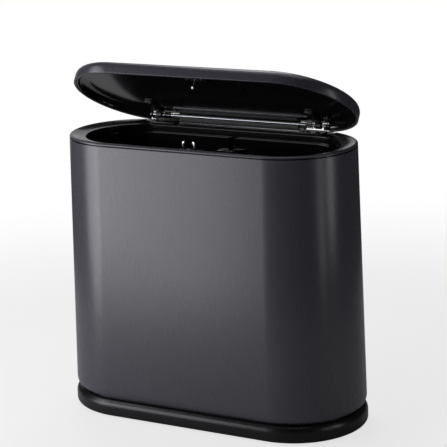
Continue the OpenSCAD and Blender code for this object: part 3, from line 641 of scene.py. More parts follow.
def plated_steel(name, colour):
    """Zinc-plated or oxide-blackened steel: slightly cloudy and soft in its reflections."""
    material, tree, where = new_finish(name, 0.35, metallic=1)
    # Cloudy patches of 1.5 mm
    cloud = add(tree, "ShaderNodeTexNoise", {"Vector": where, "Scale": 650, "Detail": 3})
    vary(tree, colour, (cloud, 0.2), (cloud, 0.28, 0.46), (cloud, 0.2, 0.00002))
    return material


def nitrile_rubber(name, colour):
    """Moulded nitrile rubber: matte, with a fine skin grain."""
    material, tree, where = new_finish(name, 0.8, ior=1.52)
    # Grain of 0.5 mm
    grain = add(tree, "ShaderNodeTexNoise", {"Vector": where, "Scale": 2000, "Detail": 3})
    vary(tree, colour, (grain, 0.3), (grain, 0.7, 0.9), (grain, 0.5, 0.00005))
    return material


def finishes():
    """The bin's materials by name, made on first use."""
    f = bpy.context.scene.bin_finishes
    recipes = {
        "body": (satin_abs, "Satin charcoal ABS", f.body),
        "lid": (satin_abs, "Satin charcoal ABS, lid", f.lid),
        "plinth": (gloss_abs, "Semi-gloss black ABS", f.plinth, 0.26, 0.3),
        "inner": (gloss_abs, "Gloss black ABS", f.inner, 0.1),
        "hinge": (filled_nylon, "Black glass-filled nylon", f.hinge),
        "steel": (drawn_steel, "Bright drawn steel", f.steel),
        "zinc": (plated_steel, "Zinc-plated steel", f.zinc),
        "dark": (plated_steel, "Black oxide steel", f.dark),
        "rubber": (nitrile_rubber, "Nitrile rubber", f.rubber),
    }
    ready = {}
    for key, (make, name, *values) in recipes.items():
        ready[key] = bpy.data.materials.get(name) or make(name, *values)
    return SimpleNamespace(**ready)


# Pieces


class BinPiece:
    bl_options = {"REGISTER", "UNDO"}


class BIN_OT_shell(BinPiece, Operator):
    """Outer shell: a satin sleeve with a rounded foot edge, a seat for the collar and screw bosses"""

    bl_idname = "bin.shell"
    bl_label = "Outer shell"

    def execute(self, context):
        s, f = plan(), finishes()
        edge, rim = 0.3, s.top - 0.5
        outline = (
            [(s.mouth_r, s.shell_z)]
            + arc(s.turn_r, s.round_z, s.round_in, s.round_h, -90, 0, 16)
            + arc(s.top_r - edge, rim, edge, edge, 0, 90, 3)
            + arc(s.top_r - s.wall + edge, rim, edge, edge, 90, 180, 3)
            + arc(s.turn_r, s.round_z, s.round_in - s.wall, s.round_h - s.wall, 0, -90, 8)
            + [(s.mouth_r, s.shell_z + s.wall)]
        )
        piece = swept("outer_shell_visual", s, outline, f.body)
        inner, outer = s.plug_r - s.collar_wall + 0.5, s.body_r(s.seat_z) - s.wall + 0.5
        seat = [(inner, s.seat_z - 1.5), (outer, s.seat_z - 4.5), (outer, s.seat_z)]
        seat += [(inner + edge, s.seat_z), (inner, s.seat_z - edge)]
        combine(piece, swept("seat", s, seat, f.body), "UNION")
        low, high, r, bore = s.boss_z, s.boss_z + s.boss_h, s.boss_r, 1.8
        boss = [(bore, low), (r - 0.2, low), (r, low + 0.2), (r, high - 0.3), (r - 0.3, high), (0, high)]
        boss += [(0, high - 2), (bore, high - 2), (bore, low)]
        for side_x, side_y in CORNERS:
            x, y = side_x * s.base_screw_x, side_y * s.base_screw_y
            combine(piece, turned(boss, (x, y, 0), Z, 32), "UNION")
            # A rib ties the boss to the wall
            ends = sorted((y + 2 * side_y, side_y * (s.body_r(high) - s.wall + 1)))
            combine(piece, slab(x - 1.2, x + 1.2, *ends, low, high, 0), "UNION")
        dress(piece, "shell", ["outer_shell"], f.body)
        return {"FINISHED"}


class BIN_OT_plinth(BinPiece, Operator):
    """Plinth: a bulged black foot with a floor, screw pillars and recesses for the feet"""

    bl_idname = "bin.plinth"
    bl_label = "Plinth"

    def execute(self, context):
        s, f = plan(), finishes()
        base, band = s.foot_gap, s.plinth_r - s.plinth_wall
        neck_in = s.neck_r - s.neck_wall
        outline = (
            [(0, base), (s.neck_r, base), (s.neck_r, s.plinth_top - s.plinth_wall)]
            + [(band, s.plinth_top - s.brow_h + 2), (band, base)]
            + arc(s.plinth_r - s.plinth_edge, base + s.plinth_edge, s.plinth_edge, s.plinth_edge, -90, 0, 10)
            + arc(s.plinth_r - s.brow_w, s.plinth_top - s.brow_h, s.brow_w, s.brow_h, 0, 90, 16)
            + [(s.neck_r, s.plinth_top), (s.neck_r, s.neck_top), (neck_in, s.neck_top)]
            + [(neck_in, s.floor_z), (0, s.floor_z)]
        )
        piece = swept("plinth_visual", s, outline, f.plinth, closed=False)
        # A low wall on the floor keeps the bucket in place
        r, z, wide, high = s.bucket_out(s.bucket_z) + 0.8, s.floor_z, 2, 9
        keeper = [(r, z - 0.5), (r + wide, z - 0.5), (r + wide, z + high - 0.3), (r + wide - 0.3, z + high)]
        keeper += [(r + 0.3, z + high), (r, z + high - 0.3)]
        combine(piece, swept("keeper", s, keeper, f.plinth), "UNION")
        pillar = disc(s.pillar_r, base + 0.5, s.neck_top)
        head, shank, ledge, end = 4, 2, s.base_head_z + 0.1, s.neck_top + 1
        bore = [(0, 0), (head + 0.3, 0), (head, base + 0.5), (head, ledge), (shank, ledge)]
        bore += [(shank, end), (0, end)]
        r, top = s.foot_d / 2 + 0.2, base + s.foot_recess
        recess = [(0, 0), (r + 0.3, 0), (r, base + 0.3), (r, top), (0, top)]
        for x, y in CORNERS:
            place = (x * s.base_screw_x, y * s.base_screw_y, 0)
            combine(piece, turned(pillar, place, Z, 32), "UNION")
            combine(piece, turned(bore, place, Z, 32))
            combine(piece, turned(recess, (x * s.foot_x, y * s.foot_y, 0), Z, 40))
        dress(piece, "shell", ["base_plinth"], f.plinth)
        return {"FINISHED"}


class BIN_OT_feet(BinPiece, Operator):
    """Rubber feet: four discs with two grip grooves"""

    bl_idname = "bin.feet"
    bl_label = "Rubber feet"

    def execute(self, context):
        s, f = plan(), finishes()
        r, edge, top = s.foot_d / 2, 0.8, s.foot_gap + s.foot_recess
        outline = [(0, 0)]
        for groove in (2, 4.8):
            outline += [(groove, 0), (groove + 0.4, 0.5), (groove + 1.1, 0.5), (groove + 1.5, 0)]
        outline += arc(r - edge, edge, edge, edge, -90, 0, 4) + [(r, top), (0, top)]
        model = made("foot", turned(outline, (0, 0, 0), Z, 40))
        places = [((x * s.foot_x, y * s.foot_y, 0), Z) for x, y in CORNERS]
        piece = set_out("feet_visual", model, places, f.rubber)
        dress(piece, "shell", ["foot_pads"], f.rubber)
        return {"FINISHED"}


def screw_model(d, long, head_d, head_h):
    """Pan head screw with a cross recess, pointing up from under its head."""
    crest, root = d / 2, d / 2 * 0.86
    outline = [(0, -head_h)] + arc(0, 0, head_d / 2, head_h, -85, -8, 8) + [(head_d / 2, 0), (crest, 0)]
    turns = int((long - 1) / (d * 0.3))
    step = (long - 1) / turns
    for i in range(turns):
        outline += [(root, 0.6 + i * step), (crest, 0.6 + (i + 0.5) * step)]
    outline += [(root, long - d / 4), (d / 4, long), (0, long)]
    piece = made("screw", turned(outline, (0, 0, 0), Z, 28))
    arm, wide = head_d * 0.29, head_d * 0.075
    for a, b in ((arm, wide), (wide, arm)):
        combine(piece, slab(-a, a, -b, b, -head_h - 0.5, -head_h * 0.45, 0))
    return piece


class BIN_OT_screws(BinPiece, Operator):
    """Screws: pan heads with a cross recess, in five sets on their bodies"""

    bl_idname = "bin.screws"
    bl_label = "Screws"

    def execute(self, context):
        s, f = plan(), finishes()
        flat = Matrix.Identity(4)
        pad_top, arm_low = s.pad_z + s.pad_t, s.panel_z - s.arm_t
        plate, flange = s.panel_z - s.striker_plate_t, s.flange_t - s.lip_r
        base = [((x * s.base_screw_x, y * s.base_screw_y, s.base_head_z), Z) for x, y in CORNERS]
        hinge = [((side * x, s.bracket_screw_y, pad_top), -Z) for side in SIDES for x in s.bracket_screws]
        latch = [((side * s.latch_screw_x, flange, s.latch_screw_z), -Y) for side in SIDES]
        arms = [((side * s.arm_x, y, arm_low), Z) for side in SIDES for y in s.arm_screws]
        striker = [((side * s.striker_screw_x, s.latch_y, plate), Z) for side in SIDES]
        # Each set: node, body, shank's diameter and length, head's diameter and height, places, turn, finish
        sets = (
            ("base_screws", "shell", (3.5, 26, 7, 2.4), base, flat, f.zinc, "zinc_screw"),
            ("bracket_screws", "collar", (2.9, 8, 4.8, 1.3), hinge, flat, f.dark, "dark_steel"),
            ("latch_screws", "collar", (2.9, 7, 4.8, 1.3), latch, flat, f.zinc, "zinc_screw"),
            ("arm_screws", "lid", (2.9, 4.6, 4.8, 1.3), arms, s.opened, f.dark, "dark_steel"),
            ("striker_screws", "lid", (2.9, 4, 4.8, 1.3), striker, s.opened, f.dark, "dark_steel"),
        )
        for name, body, size, places, turn, finish, slot in sets:
            piece = set_out(name + "_visual", screw_model(*size), places, finish, turn)
            dress(piece, body, [name], finish)
        return {"FINISHED"}


class BIN_OT_bucket(BinPiece, Operator):
    """Inner bucket: gloss black with a rolled rim, a groove that clears the latch and a finger lug"""

    bl_idname = "bin.bucket"
    bl_label = "Inner bucket"

    def execute(self, context):
        s, f = plan(), finishes()
        corner, wall = 6, s.bucket_wall
        low, rim, top = s.bucket_out(s.bucket_z) - corner, s.bucket_top - 3, s.bucket_top
        outline = (
            [(0, s.bucket_z)]
            + arc(low, s.bucket_z + corner, corner, corner, -90, 0, 10)
            + [(s.bucket_out(rim), rim), (s.rim_r - 0.4, rim)]
            + arc(s.rim_r - 0.5, rim + 0.5, 0.5, 0.5, -60, 0, 2)
            + arc(s.rim_r - 1.1, top - 1.1, 1.1, 1.1, 0, 90, 6)
            + [(0, top)]
        )
        piece = swept("bucket_visual", s, outline, f.inner, closed=False)
        half, front = s.rebate_w / 2, -s.rim_r - 1
        combine(piece, slab(-half, half, front, s.rebate_y, s.bucket_z - 1, top + 1, 0))
        inner_r, floor = s.bucket_out(top) - wall, 2
        hollow = (
            [(0, s.bucket_z + floor)]
            + arc(low, s.bucket_z + corner, corner - wall, corner - floor, -90, 0, 8)
            + [(inner_r - 0.01, top - 0.5), (inner_r + 0.5, top), (inner_r + 0.5, top + 1), (0, top + 1)]
        )
        inside = swept("hollow", s, hollow, f.inner, closed=False)
        wide = half + wall
        combine(inside, slab(-wide, wide, front, s.rebate_y + wall, s.bucket_z - 1, top + 2, 0))
        combine(piece, inside)
        half = s.lug_w / 2
        lug = slab(-half, half, inner_r - 8.5, inner_r + wall / 2, s.lug_z - 3, s.lug_z, 0.5)
        combine(piece, lug, "UNION")
        combine(piece, slab(-4, 4, inner_r - 1, s.rim_r + 1, s.lug_z, top + 1, 0))
        dress(piece, "bucket", ["inner_bucket"], f.inner)
        return {"FINISHED"}


class BIN_OT_collar(BinPiece, Operator):
    """Collar: a satin ring with a rounded ridge, and a gloss funnel with lip, plug and hinge pockets"""

    bl_idname = "bin.collar"
    bl_label = "Rim collar"

    def execute(self, context):
        s, f = plan(), finishes()
        crest, bend, foot = s.top_r - s.ridge_in, 1.8, s.collar_z + 0.2
        ring = (
            [(s.top_r - 0.15, foot), (s.top_r, foot + 0.15)]
            + arc(crest, s.ridge_z - bend, s.ridge_in, bend, 0, 90, 10)
            + [(crest - 0.5, s.ridge_z - 0.1), (crest - 0.5, foot)]
        )
        # The funnel falls from the ridge to the opening, steep at first
        fall, top, run = [], s.ridge_z - 0.1, s.collar_w - s.ridge_in - 0.6
        for i in range(12):
            t = i / 12
            fall.append((crest - 0.6 - t * run, top - (top - s.edge_z) * (1 - (1 - t) ** 1.6)))
        lip_out, plug_in = s.lip_r + s.collar_wall, s.plug_r - s.collar_wall
        outline = (
            [(s.top_r - 0.4, foot), (crest - 0.5, foot + 0.4), (crest - 0.5, s.ridge_z - 0.4)]
            + fall
            + arc(s.lip_r + 0.6, s.edge_z - 0.6, 0.6, 0.6, 90, 180, 5)
            + [(s.lip_r, s.lip_z + 0.3), (s.lip_r + 0.3, s.lip_z), (lip_out, s.lip_z), (lip_out, s.ceiling_z)]
            + [(plug_in, s.ceiling_z), (plug_in, s.plug_z), (s.plug_r - 0.5, s.plug_z)]
            + [(s.plug_r, s.plug_z + 0.5), (s.plug_r, s.collar_z)]
        )
        funnel = swept("collar_funnel_visual", s, outline, f.inner)
        self.bosses_and_floors(s, f, funnel)
        rim = swept("collar_ring_visual", s, ring, f.body)
        for part, slot, finish in (rim, "body_plastic", f.body), (funnel, "inner_plastic", f.inner):
            for reach, r in ((12, s.trough_r), (21, s.trough_end_r)):
                half = s.straight + reach
                combine(part, turned(disc(r, -half, half), (0, s.hinge_y, s.hinge_z), X, 96))
            for side in SIDES:
                combine(part, self.pocket(s, side, s.pad_back + 0.3, s.pad_z, s.ridge_z + 1))
            dress(part, "collar", ["rim_collar"], finish)
        return {"FINISHED"}

    def pocket(self, s, side, back, low, high):
        """Room of a hinge block between two heights."""
        return mirrored(slab(s.block_x - 1, s.block_end + 1, s.pad_front - 0.3, back, low, high, 0), side)

    def bosses_and_floors(self, s, f, funnel):
        """Adds the screw bosses and a floor under each hinge block, kept inside the plug."""
        r, low, high = 3.5, s.ceiling_z - 8, s.ceiling_z + 0.5
        hinge_boss = [(0, low), (r - 0.3, low), (r, low + 0.3), (r, high), (0, high)]
        latch_boss = [(0, 0), (r, 0), (r, 6.7), (r - 0.3, 7), (0, 7)]
        for side in SIDES:
            for x in s.bracket_screws:
                combine(funnel, turned(hinge_boss, (side * x, s.bracket_screw_y, 0), Z, 28), "UNION")
            place = (side * s.latch_screw_x, -s.lip_r - 0.5, s.latch_screw_z)
            combine(funnel, turned(latch_boss, place, -Y, 28), "UNION")
            floor = made("floor", self.pocket(s, side, s.pad_back, s.ceiling_z, s.pad_z))
            room = disc(s.plug_r, s.ceiling_z - 1, s.pad_z + 1)
            combine(floor, swept("inside", s, room, f.inner, closed=False), "INTERSECT")
            combine(funnel, floor, "UNION")


class BIN_OT_hinge_blocks(BinPiece, Operator):
    """Hinge blocks: a pad with a back wall, two ears, their gussets and thin webs, in black nylon"""

    bl_idname = "bin.hinge_blocks"
    bl_label = "Hinge blocks"

    def execute(self, context):
        s, f = plan(), finishes()
        foot, start, end = s.pad_z + s.pad_t, s.block_x, s.block_end
        front, back = s.hinge_y - s.ear_r, s.hinge_y + s.ear_r
        ear = arc(s.hinge_y, s.hinge_z, s.ear_r, s.ear_r, 180, 0, 18)
        ear = [(front, s.pad_z + 0.2)] + ear + [(back, s.pad_z + 0.2)]
        gusset = [(s.pad_front + 0.6, foot - 0.1), (front + 0.5, s.hinge_z - 1.2), (front + 0.5, foot - 0.1)]
        web = s.hinge_y + 3.25
        hole = disc(1.6, s.pad_z - 1, foot + 1)
        for side, word in NAMED_SIDES:
            parts = [
                slab(start, end, s.pad_front, s.pad_back, s.pad_z, foot, 0.3),
                slab(start, end, s.pad_back - 0.6, s.pad_back, s.pad_z, s.hinge_z - 1.7, 0.15),
            ]
            # Thin webs behind the ears close the view through the lid's notch
            for x0, x1 in ((start - 2.2, start + s.ear_t + 3), (end - s.ear_t - 1, end + 3.5)):
                parts.append(slab(x0, x1, web, web + 0.4, s.ridge_z + 0.4, s.hinge_z + 1.4, 0.1))
            for x in (start, end - s.ear_t):
                parts.append(prism(ear, "x", x, x + s.ear_t, 0.35))
                parts.append(prism(gusset, "x", x + 0.7, x + s.ear_t - 0.7, 0.15))
            piece = made("hinge_block_" + word, mirrored(gather(*parts), side))
            for x in s.bracket_screws:
                combine(piece, turned(hole, (side * x, s.bracket_screw_y, 0), Z, 24))
            dress(piece, "collar", ["hinge_bracket_" + word], f.hinge)
        return {"FINISHED"}


class BIN_OT_hinge_rod(BinPiece, Operator):
    """Hinge rod of bright steel with a clip in a groove near each end"""

    bl_idname = "bin.hinge_rod"
    bl_label = "Hinge rod and clips"

    def execute(self, context):
        s, f = plan(), finishes()
        r, half, edge, groove = s.rod_d / 2, s.rod_half, 0.4, s.rod_d / 2 - 0.25
        near, far = s.clip_x - 0.1, s.clip_x + s.clip_t + 0.1
        end = [(0, half), (r - edge, half), (r, half - edge), (r, far), (groove, far)]
        end += [(groove, near), (r, near)]
        outline = [(a, -b) for a, b in end] + [(r, 0)] + end[::-1]
        rod = made("hinge_rod_visual", turned(outline, (0, s.hinge_y, s.hinge_z), X, 40))
        dress(rod, "collar", ["hinge_rod"], f.steel)
        ring = arc(0, 0, 3.2, 3.2, 125, 415, 26) + arc(0, 0, r - 0.2, r - 0.2, 412, 128, 20)
        outline = [(s.hinge_y + a, s.hinge_z + b) for a, b in ring]
        clip_end = s.clip_x + s.clip_t
        clips = [mirrored(prism(outline, "x", s.clip_x, clip_end, 0.12), side) for side in SIDES]
        dress(made("rod_clips_visual", gather(*clips)), "collar", ["rod_clips"], f.zinc)
        return {"FINISHED"}


def coil(r, pitch, start, end, leg_in=0, leg_out=0):
    """Points of a spring wound along X from one angle to another, with a straight leg at each end."""

    def at(a):
        t = math.radians(a)
        return Vector((pitch * (a - start) / 360, r * math.cos(t), r * math.sin(t)))

    def run(a):
        t = math.radians(a)
        return Vector((0, -math.sin(t), math.cos(t)))

    n = round((end - start) / 12)
    path = [at(start + (end - start) * i / n) for i in range(n + 1)]
    if leg_in:
        path = [path[0] - run(start) * leg_in * t for t in (1, 0.66, 0.33)] + path
    if leg_out:
        path += [path[-1] + run(end) * leg_out * t for t in (0.33, 0.66, 1)]
    return path


class BIN_OT_springs(BinPiece, Operator):
    """Springs: two torsion springs on the rod and a pressure spring in the latch"""

    bl_idname = "bin.springs"
    bl_label = "Springs"

    def execute(self, context):
        s, f = plan(), finishes()
        path = coil(s.coil_d / 2, s.coil_pitch, s.coil_from, s.coil_to, 8.5, 15)
        for side, word in NAMED_SIDES:
            placed = [(side * (s.coil_x + p.x), s.hinge_y + p.y, s.hinge_z + p.z) for p in path]
            piece = wound("torsion_spring_" + word + "_visual", placed, s.coil_wire, f.dark)
            dress(piece, None, ["torsion_spring_" + word], f.dark)
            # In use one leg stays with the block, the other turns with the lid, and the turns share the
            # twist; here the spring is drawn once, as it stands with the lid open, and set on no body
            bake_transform(piece)
        floor = s.housing_z + s.housing_floor
        room, wire, r, turns = s.plunger_foot - floor, 0.7, 2.6, 6
        pitch = (room - wire) / turns
        path = [(-p.z, s.latch_y + p.y, floor + wire / 2 + p.x) for p in coil(r, pitch, 0, 360 * turns)]
        piece = wound("latch_spring_visual", path, wire, f.steel, 8)
        dress(piece, "collar", ["latch_spring"], f.steel)
        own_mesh(piece)
        return {"FINISHED"}


class BIN_OT_hinge_arms(BinPiece, Operator):
    """Hinge arms: ribbed straps under the lid with a knuckle on the rod"""

    bl_idname = "bin.hinge_arms"
    bl_label = "Hinge arms"

    def execute(self, context):
        s, f = plan(), finishes()
        low, top = s.panel_z - s.arm_t, s.panel_z - 0.02
        x0, x1, back = s.arm_x - s.arm_w / 2, s.arm_x + s.arm_w / 2, s.hinge_y - 8
        r, w, bore, edge = s.knuckle_r, s.knuckle_w, s.rod_d / 2 + 0.05, 0.4
        ring = [(bore, 0.3), (bore + 0.3, 0), (r - edge, 0), (r, edge), (r, w - edge), (r - edge, w)]
        ring += [(bore + 0.3, w), (bore, w - 0.3), (bore, 0.3)]
        for side, word in NAMED_SIDES:
            parts = [
                slab(x0, x1, s.arm_front, back, low, top, 0.35),
                slab(s.knuckle_x, s.knuckle_x + w, back - 1, s.hinge_y - 1, low - 1, top, 0.3),
            ]
            for rib in (x0 + 0.4, x1 - 1.2):
                parts.append(slab(rib, rib + 0.8, s.arm_front + 1, back - 0.5, low - 0.7, low + 0.2, 0.1))
            parts.append(turned(ring, (s.knuckle_x, s.hinge_y, s.hinge_z), X, 36))
            piece = made("hinge_arm_" + word + "_visual", mirrored(gather(*parts), side))
            piece.data.transform(s.opened)
            dress(piece, "lid", ["hinge_arm_" + word], f.hinge)
        return {"FINISHED"}


def cut_notches(s, piece, front, top):
    """Cuts the lid's rear edge clear of the hinge blocks."""
    for side in SIDES:
        notch = slab(s.block_x - 2.5, s.block_end + 4, front, s.lid_r + 1, s.lid_z - 1, top, 0)
        combine(piece, mirrored(notch, side))


class BIN_OT_lid(BinPiece, Operator):
    """Lid shell: a crowned satin cap with a soft edge and notches that clear the hinge blocks"""

    bl_idname = "bin.lid"
    bl_label = "Lid shell"

    def execute(self, context):
        s, f = plan(), finishes()
        crown = [(s.edge_r * i / 8, s.crown_at(s.edge_r * i / 8)) for i in range(8)]
        inner_w, inner_h, inside = s.corner_w - s.lid_wall, s.corner_h - s.lid_wall, s.lid_r - s.lid_wall
        outline = (
            crown
            + arc(s.edge_r, s.shoulder, s.corner_w, s.corner_h, 90, 0, 16)
            + arc(s.lid_r - 0.5, s.lid_z + 0.5, 0.5, 0.5, 0, -90, 3)
            + [(inside + 0.3, s.lid_z), (inside, s.lid_z + 0.3)]
            + arc(s.edge_r, s.shoulder, inner_w, inner_h, 0, 90, 8)
            + [(r, z - s.lid_wall) for r, z in crown[::-1]]
        )
        piece = swept("lid_shell_visual", s, outline, f.lid, closed=False)
        cut_notches(s, piece, s.hinge_y - 3, s.lid_z + 8.9)
        piece.data.transform(s.opened)
        dress(piece, "lid", ["lid_shell"], f.lid)
        return {"FINISHED"}


class BIN_OT_liner(BinPiece, Operator):
    """Lid panel: a shallow gloss black dish that lines the shell, with room for the hinge"""

    bl_idname = "bin.liner"
    bl_label = "Lid panel"

    def execute(self, context):
        s, f = plan(), finishes()
        inner, bend_w, bend_h = s.liner_r - s.liner_wall, 10, 6
        outline = (
            [(0, s.panel_z)]
            + arc(inner - bend_w, s.panel_z - bend_h, bend_w, bend_h, 90, 0, 14)
            + [(inner, s.liner_z + 0.3), (inner + 0.3, s.liner_z)]
            + [(s.liner_r - 0.4, s.liner_z), (s.liner_r, s.liner_z + 0.4)]
            + [(s.liner_r, s.shoulder - 0.5), (s.liner_r - 2, s.panel_top), (0, s.panel_top)]
        )
        piece = swept("lid_panel_visual", s, outline, f.inner, closed=False)
        cut_notches(s, piece, s.hinge_y - 8, s.panel_z + 0.05)
        # A channel keeps the wall's inner round clear of the rod
        channel = disc(s.rod_d / 2 + 0.6, -s.block_x, s.block_x)
        combine(piece, turned(channel, (0, s.hinge_y, s.hinge_z), X, 40))
        piece.data.transform(s.opened)
        dress(piece, "lid", ["lid_liner"], f.inner)
        return {"FINISHED"}


class BIN_OT_striker(BinPiece, Operator):
    """Striker: a black plate and neck with a bright head under the lid's front"""

    bl_idname = "bin.striker"
    bl_label = "Striker"

    def execute(self, context):
        s, f = plan(), finishes()
        plate, r, z = s.panel_z - s.striker_plate_t, s.striker_d / 2, s.striker_z
        head = [(0, z), (r - 1.2, z), (r - 0.8, z + 0.2), (r, z + 1.8), (r - 0.2, z + 2.2)]
        head += [(0.9, z + 2.3), (0, z + 2.3)]
        neck = [(0, z + 2.2), (0.95, z + 2.2), (0.95, plate - 0.8), (1.7, plate + 0.1), (0, plate + 0.1)]
        place = (0, s.latch_y, 0)
        base = slab(-11, 11, s.latch_y - 4, s.latch_y + 4, plate, s.panel_z - 0.02, 0.4)
        parts = (
            ("striker_plate_visual", gather(base, turned(neck, place, Z, 32)), "hinge_plastic", f.hinge),
            ("striker_head_visual", turned(head, place, Z, 32), "bright_steel", f.steel),
        )
        for name, shape, slot, finish in parts:
            piece = made(name, shape)
            piece.data.transform(s.opened)
            dress(piece, "lid", ["lid_striker"], finish)
        return {"FINISHED"}


class BIN_OT_latch(BinPiece, Operator):
    """Latch: housing, cover, jaws, plunger and pins on the collar's front lip"""

    bl_idname = "bin.latch"
    bl_label = "Latch"

    def execute(self, context):
        s, f = plan(), finishes()
        self.housing(s, f)
        self.jaws(s, f)
        r, edge, foot, top = s.plunger_d / 2, 0.3, s.plunger_foot, s.plunger_top
        flange, flange_t = r + 1, 2
        step = foot + flange_t
        outline = [(0, foot), (flange - edge, foot), (flange, foot + edge), (flange, step - edge)]
        outline += [(flange - edge, step), (r, step), (r, top - 0.5), (r - 0.5, top), (0, top)]
        plunger = made("plunger_visual", turned(outline, (0, s.latch_y, 0), Z, 32))
        dress(plunger, "plunger", ["latch_plunger"], f.zinc)
        r, edge, near, far = 1, 0.25, 0.8 - s.lip_r, s.cover_y + s.cover_t
        pin = [(0, near), (r - edge, near), (r, near + edge), (r, far - edge), (r - edge, far), (0, far)]
        pins = [turned(pin, (side * s.jaw_pin_x, 0, s.jaw_z), Y, 24) for side in SIDES]
        dress(made("jaw_pins_visual", gather(*pins)), "collar", ["jaw_pins"], f.zinc)
        return {"FINISHED"}

    def housing(self, s, f):
        """Box with a flange for its screws, open at the back, and the cover that shuts it."""
        half, front, wall = s.housing_w / 2, -s.lip_r, 2
        low, top, lug, wide = s.housing_z, s.housing_top, 6, s.flange_w / 2
        housing = made("latch_housing_visual", slab(-half, half, front, s.housing_back, low, top, 0.5))
        flange_low, flange_top = s.latch_screw_z - lug, s.latch_screw_z + lug
        flange = slab(-wide, wide, front, front + s.flange_t, flange_low, flange_top, 0.5)
        combine(housing, flange, "UNION")
        inside = (wall - half, half - wall, front + wall, s.housing_back + 1)
        combine(housing, slab(*inside, low + s.housing_floor, top + 1, 0))
        dress(housing, "collar", ["latch_housing"], f.hinge)
        back, inset = s.cover_y + s.cover_t, 3
        cover = gather(
            slab(-half, half, s.cover_y, back, low, top, 0.4),
            slab(inset - half, half - inset, back - 0.2, back + 0.3, low + inset, s.jaw_z - 4, 0.2),
        )
        dress(made("latch_cover_visual", cover), "collar", ["latch_cover"], f.hinge)

    def jaws(self, s, f):
        """Two steel blades with a hooked tip, each with a boss round its pin."""
        x, z, tip, y, t = s.jaw_pin_x, s.jaw_z, s.jaw_z + s.jaw_h, s.latch_y, s.jaw_t / 2
        blade = [(x - 1.3, z), (x - 0.6, z + 6), (x - 0.3, tip - 3), (x - 1.5, tip - 2.6)]
        blade += [(x - 1.5, tip - 1.4), (x - 0.2, tip), (x + 1.4, tip - 0.6), (x + 1.9, tip - 3)]
        blade += [(x + 1.9, z + 6), (x + 1.6, z)]
        bore, r, edge = 1.05, 2.1, 0.25
        boss = [(bore, -t), (r - edge, -t), (r, edge - t), (r, t - edge), (r - edge, t)]
        boss += [(bore, t), (bore, -t)]
        for side, word in NAMED_SIDES:
            flat = prism(blade, "y", y - t + 0.05, y + t - 0.05, 0.22)
            shape = mirrored(gather(flat, turned(boss, (x, y, z), Y, 28)), side)
            piece = made("latch_jaw_" + word + "_visual", shape)
            dress(piece, "jaw_" + word, ["latch_jaw_" + word], f.steel)


def way_to(bearing, rise):
    """Unit vector towards a bearing from the front and a rise, both in radians."""
    flat = math.cos(rise)
    return Vector((math.sin(bearing) * flat, -math.cos(bearing) * flat, math.sin(rise)))


def light(name, watts, size, bearing, rise, away=1.05):
    """A soft lamp that faces the bin, at a bearing and rise in degrees and a distance in metres."""
    lamp = bpy.data.lights.new(name, "AREA")
    lamp.shape = "RECTANGLE"
    lamp.size, lamp.size_y = size
    lamp.energy = watts
    # Daylight tubes, a touch cool
    lamp.color = (0.97, 0.965, 1.0)
    way = way_to(math.radians(bearing), math.radians(rise))
    turn = way.to_track_quat("Z", "Y").to_matrix().to_4x4()
    middle = Vector((0, 0, 0.16))
    place_mesh(name, lamp).matrix_world = Matrix.Translation(middle + away * way) @ turn


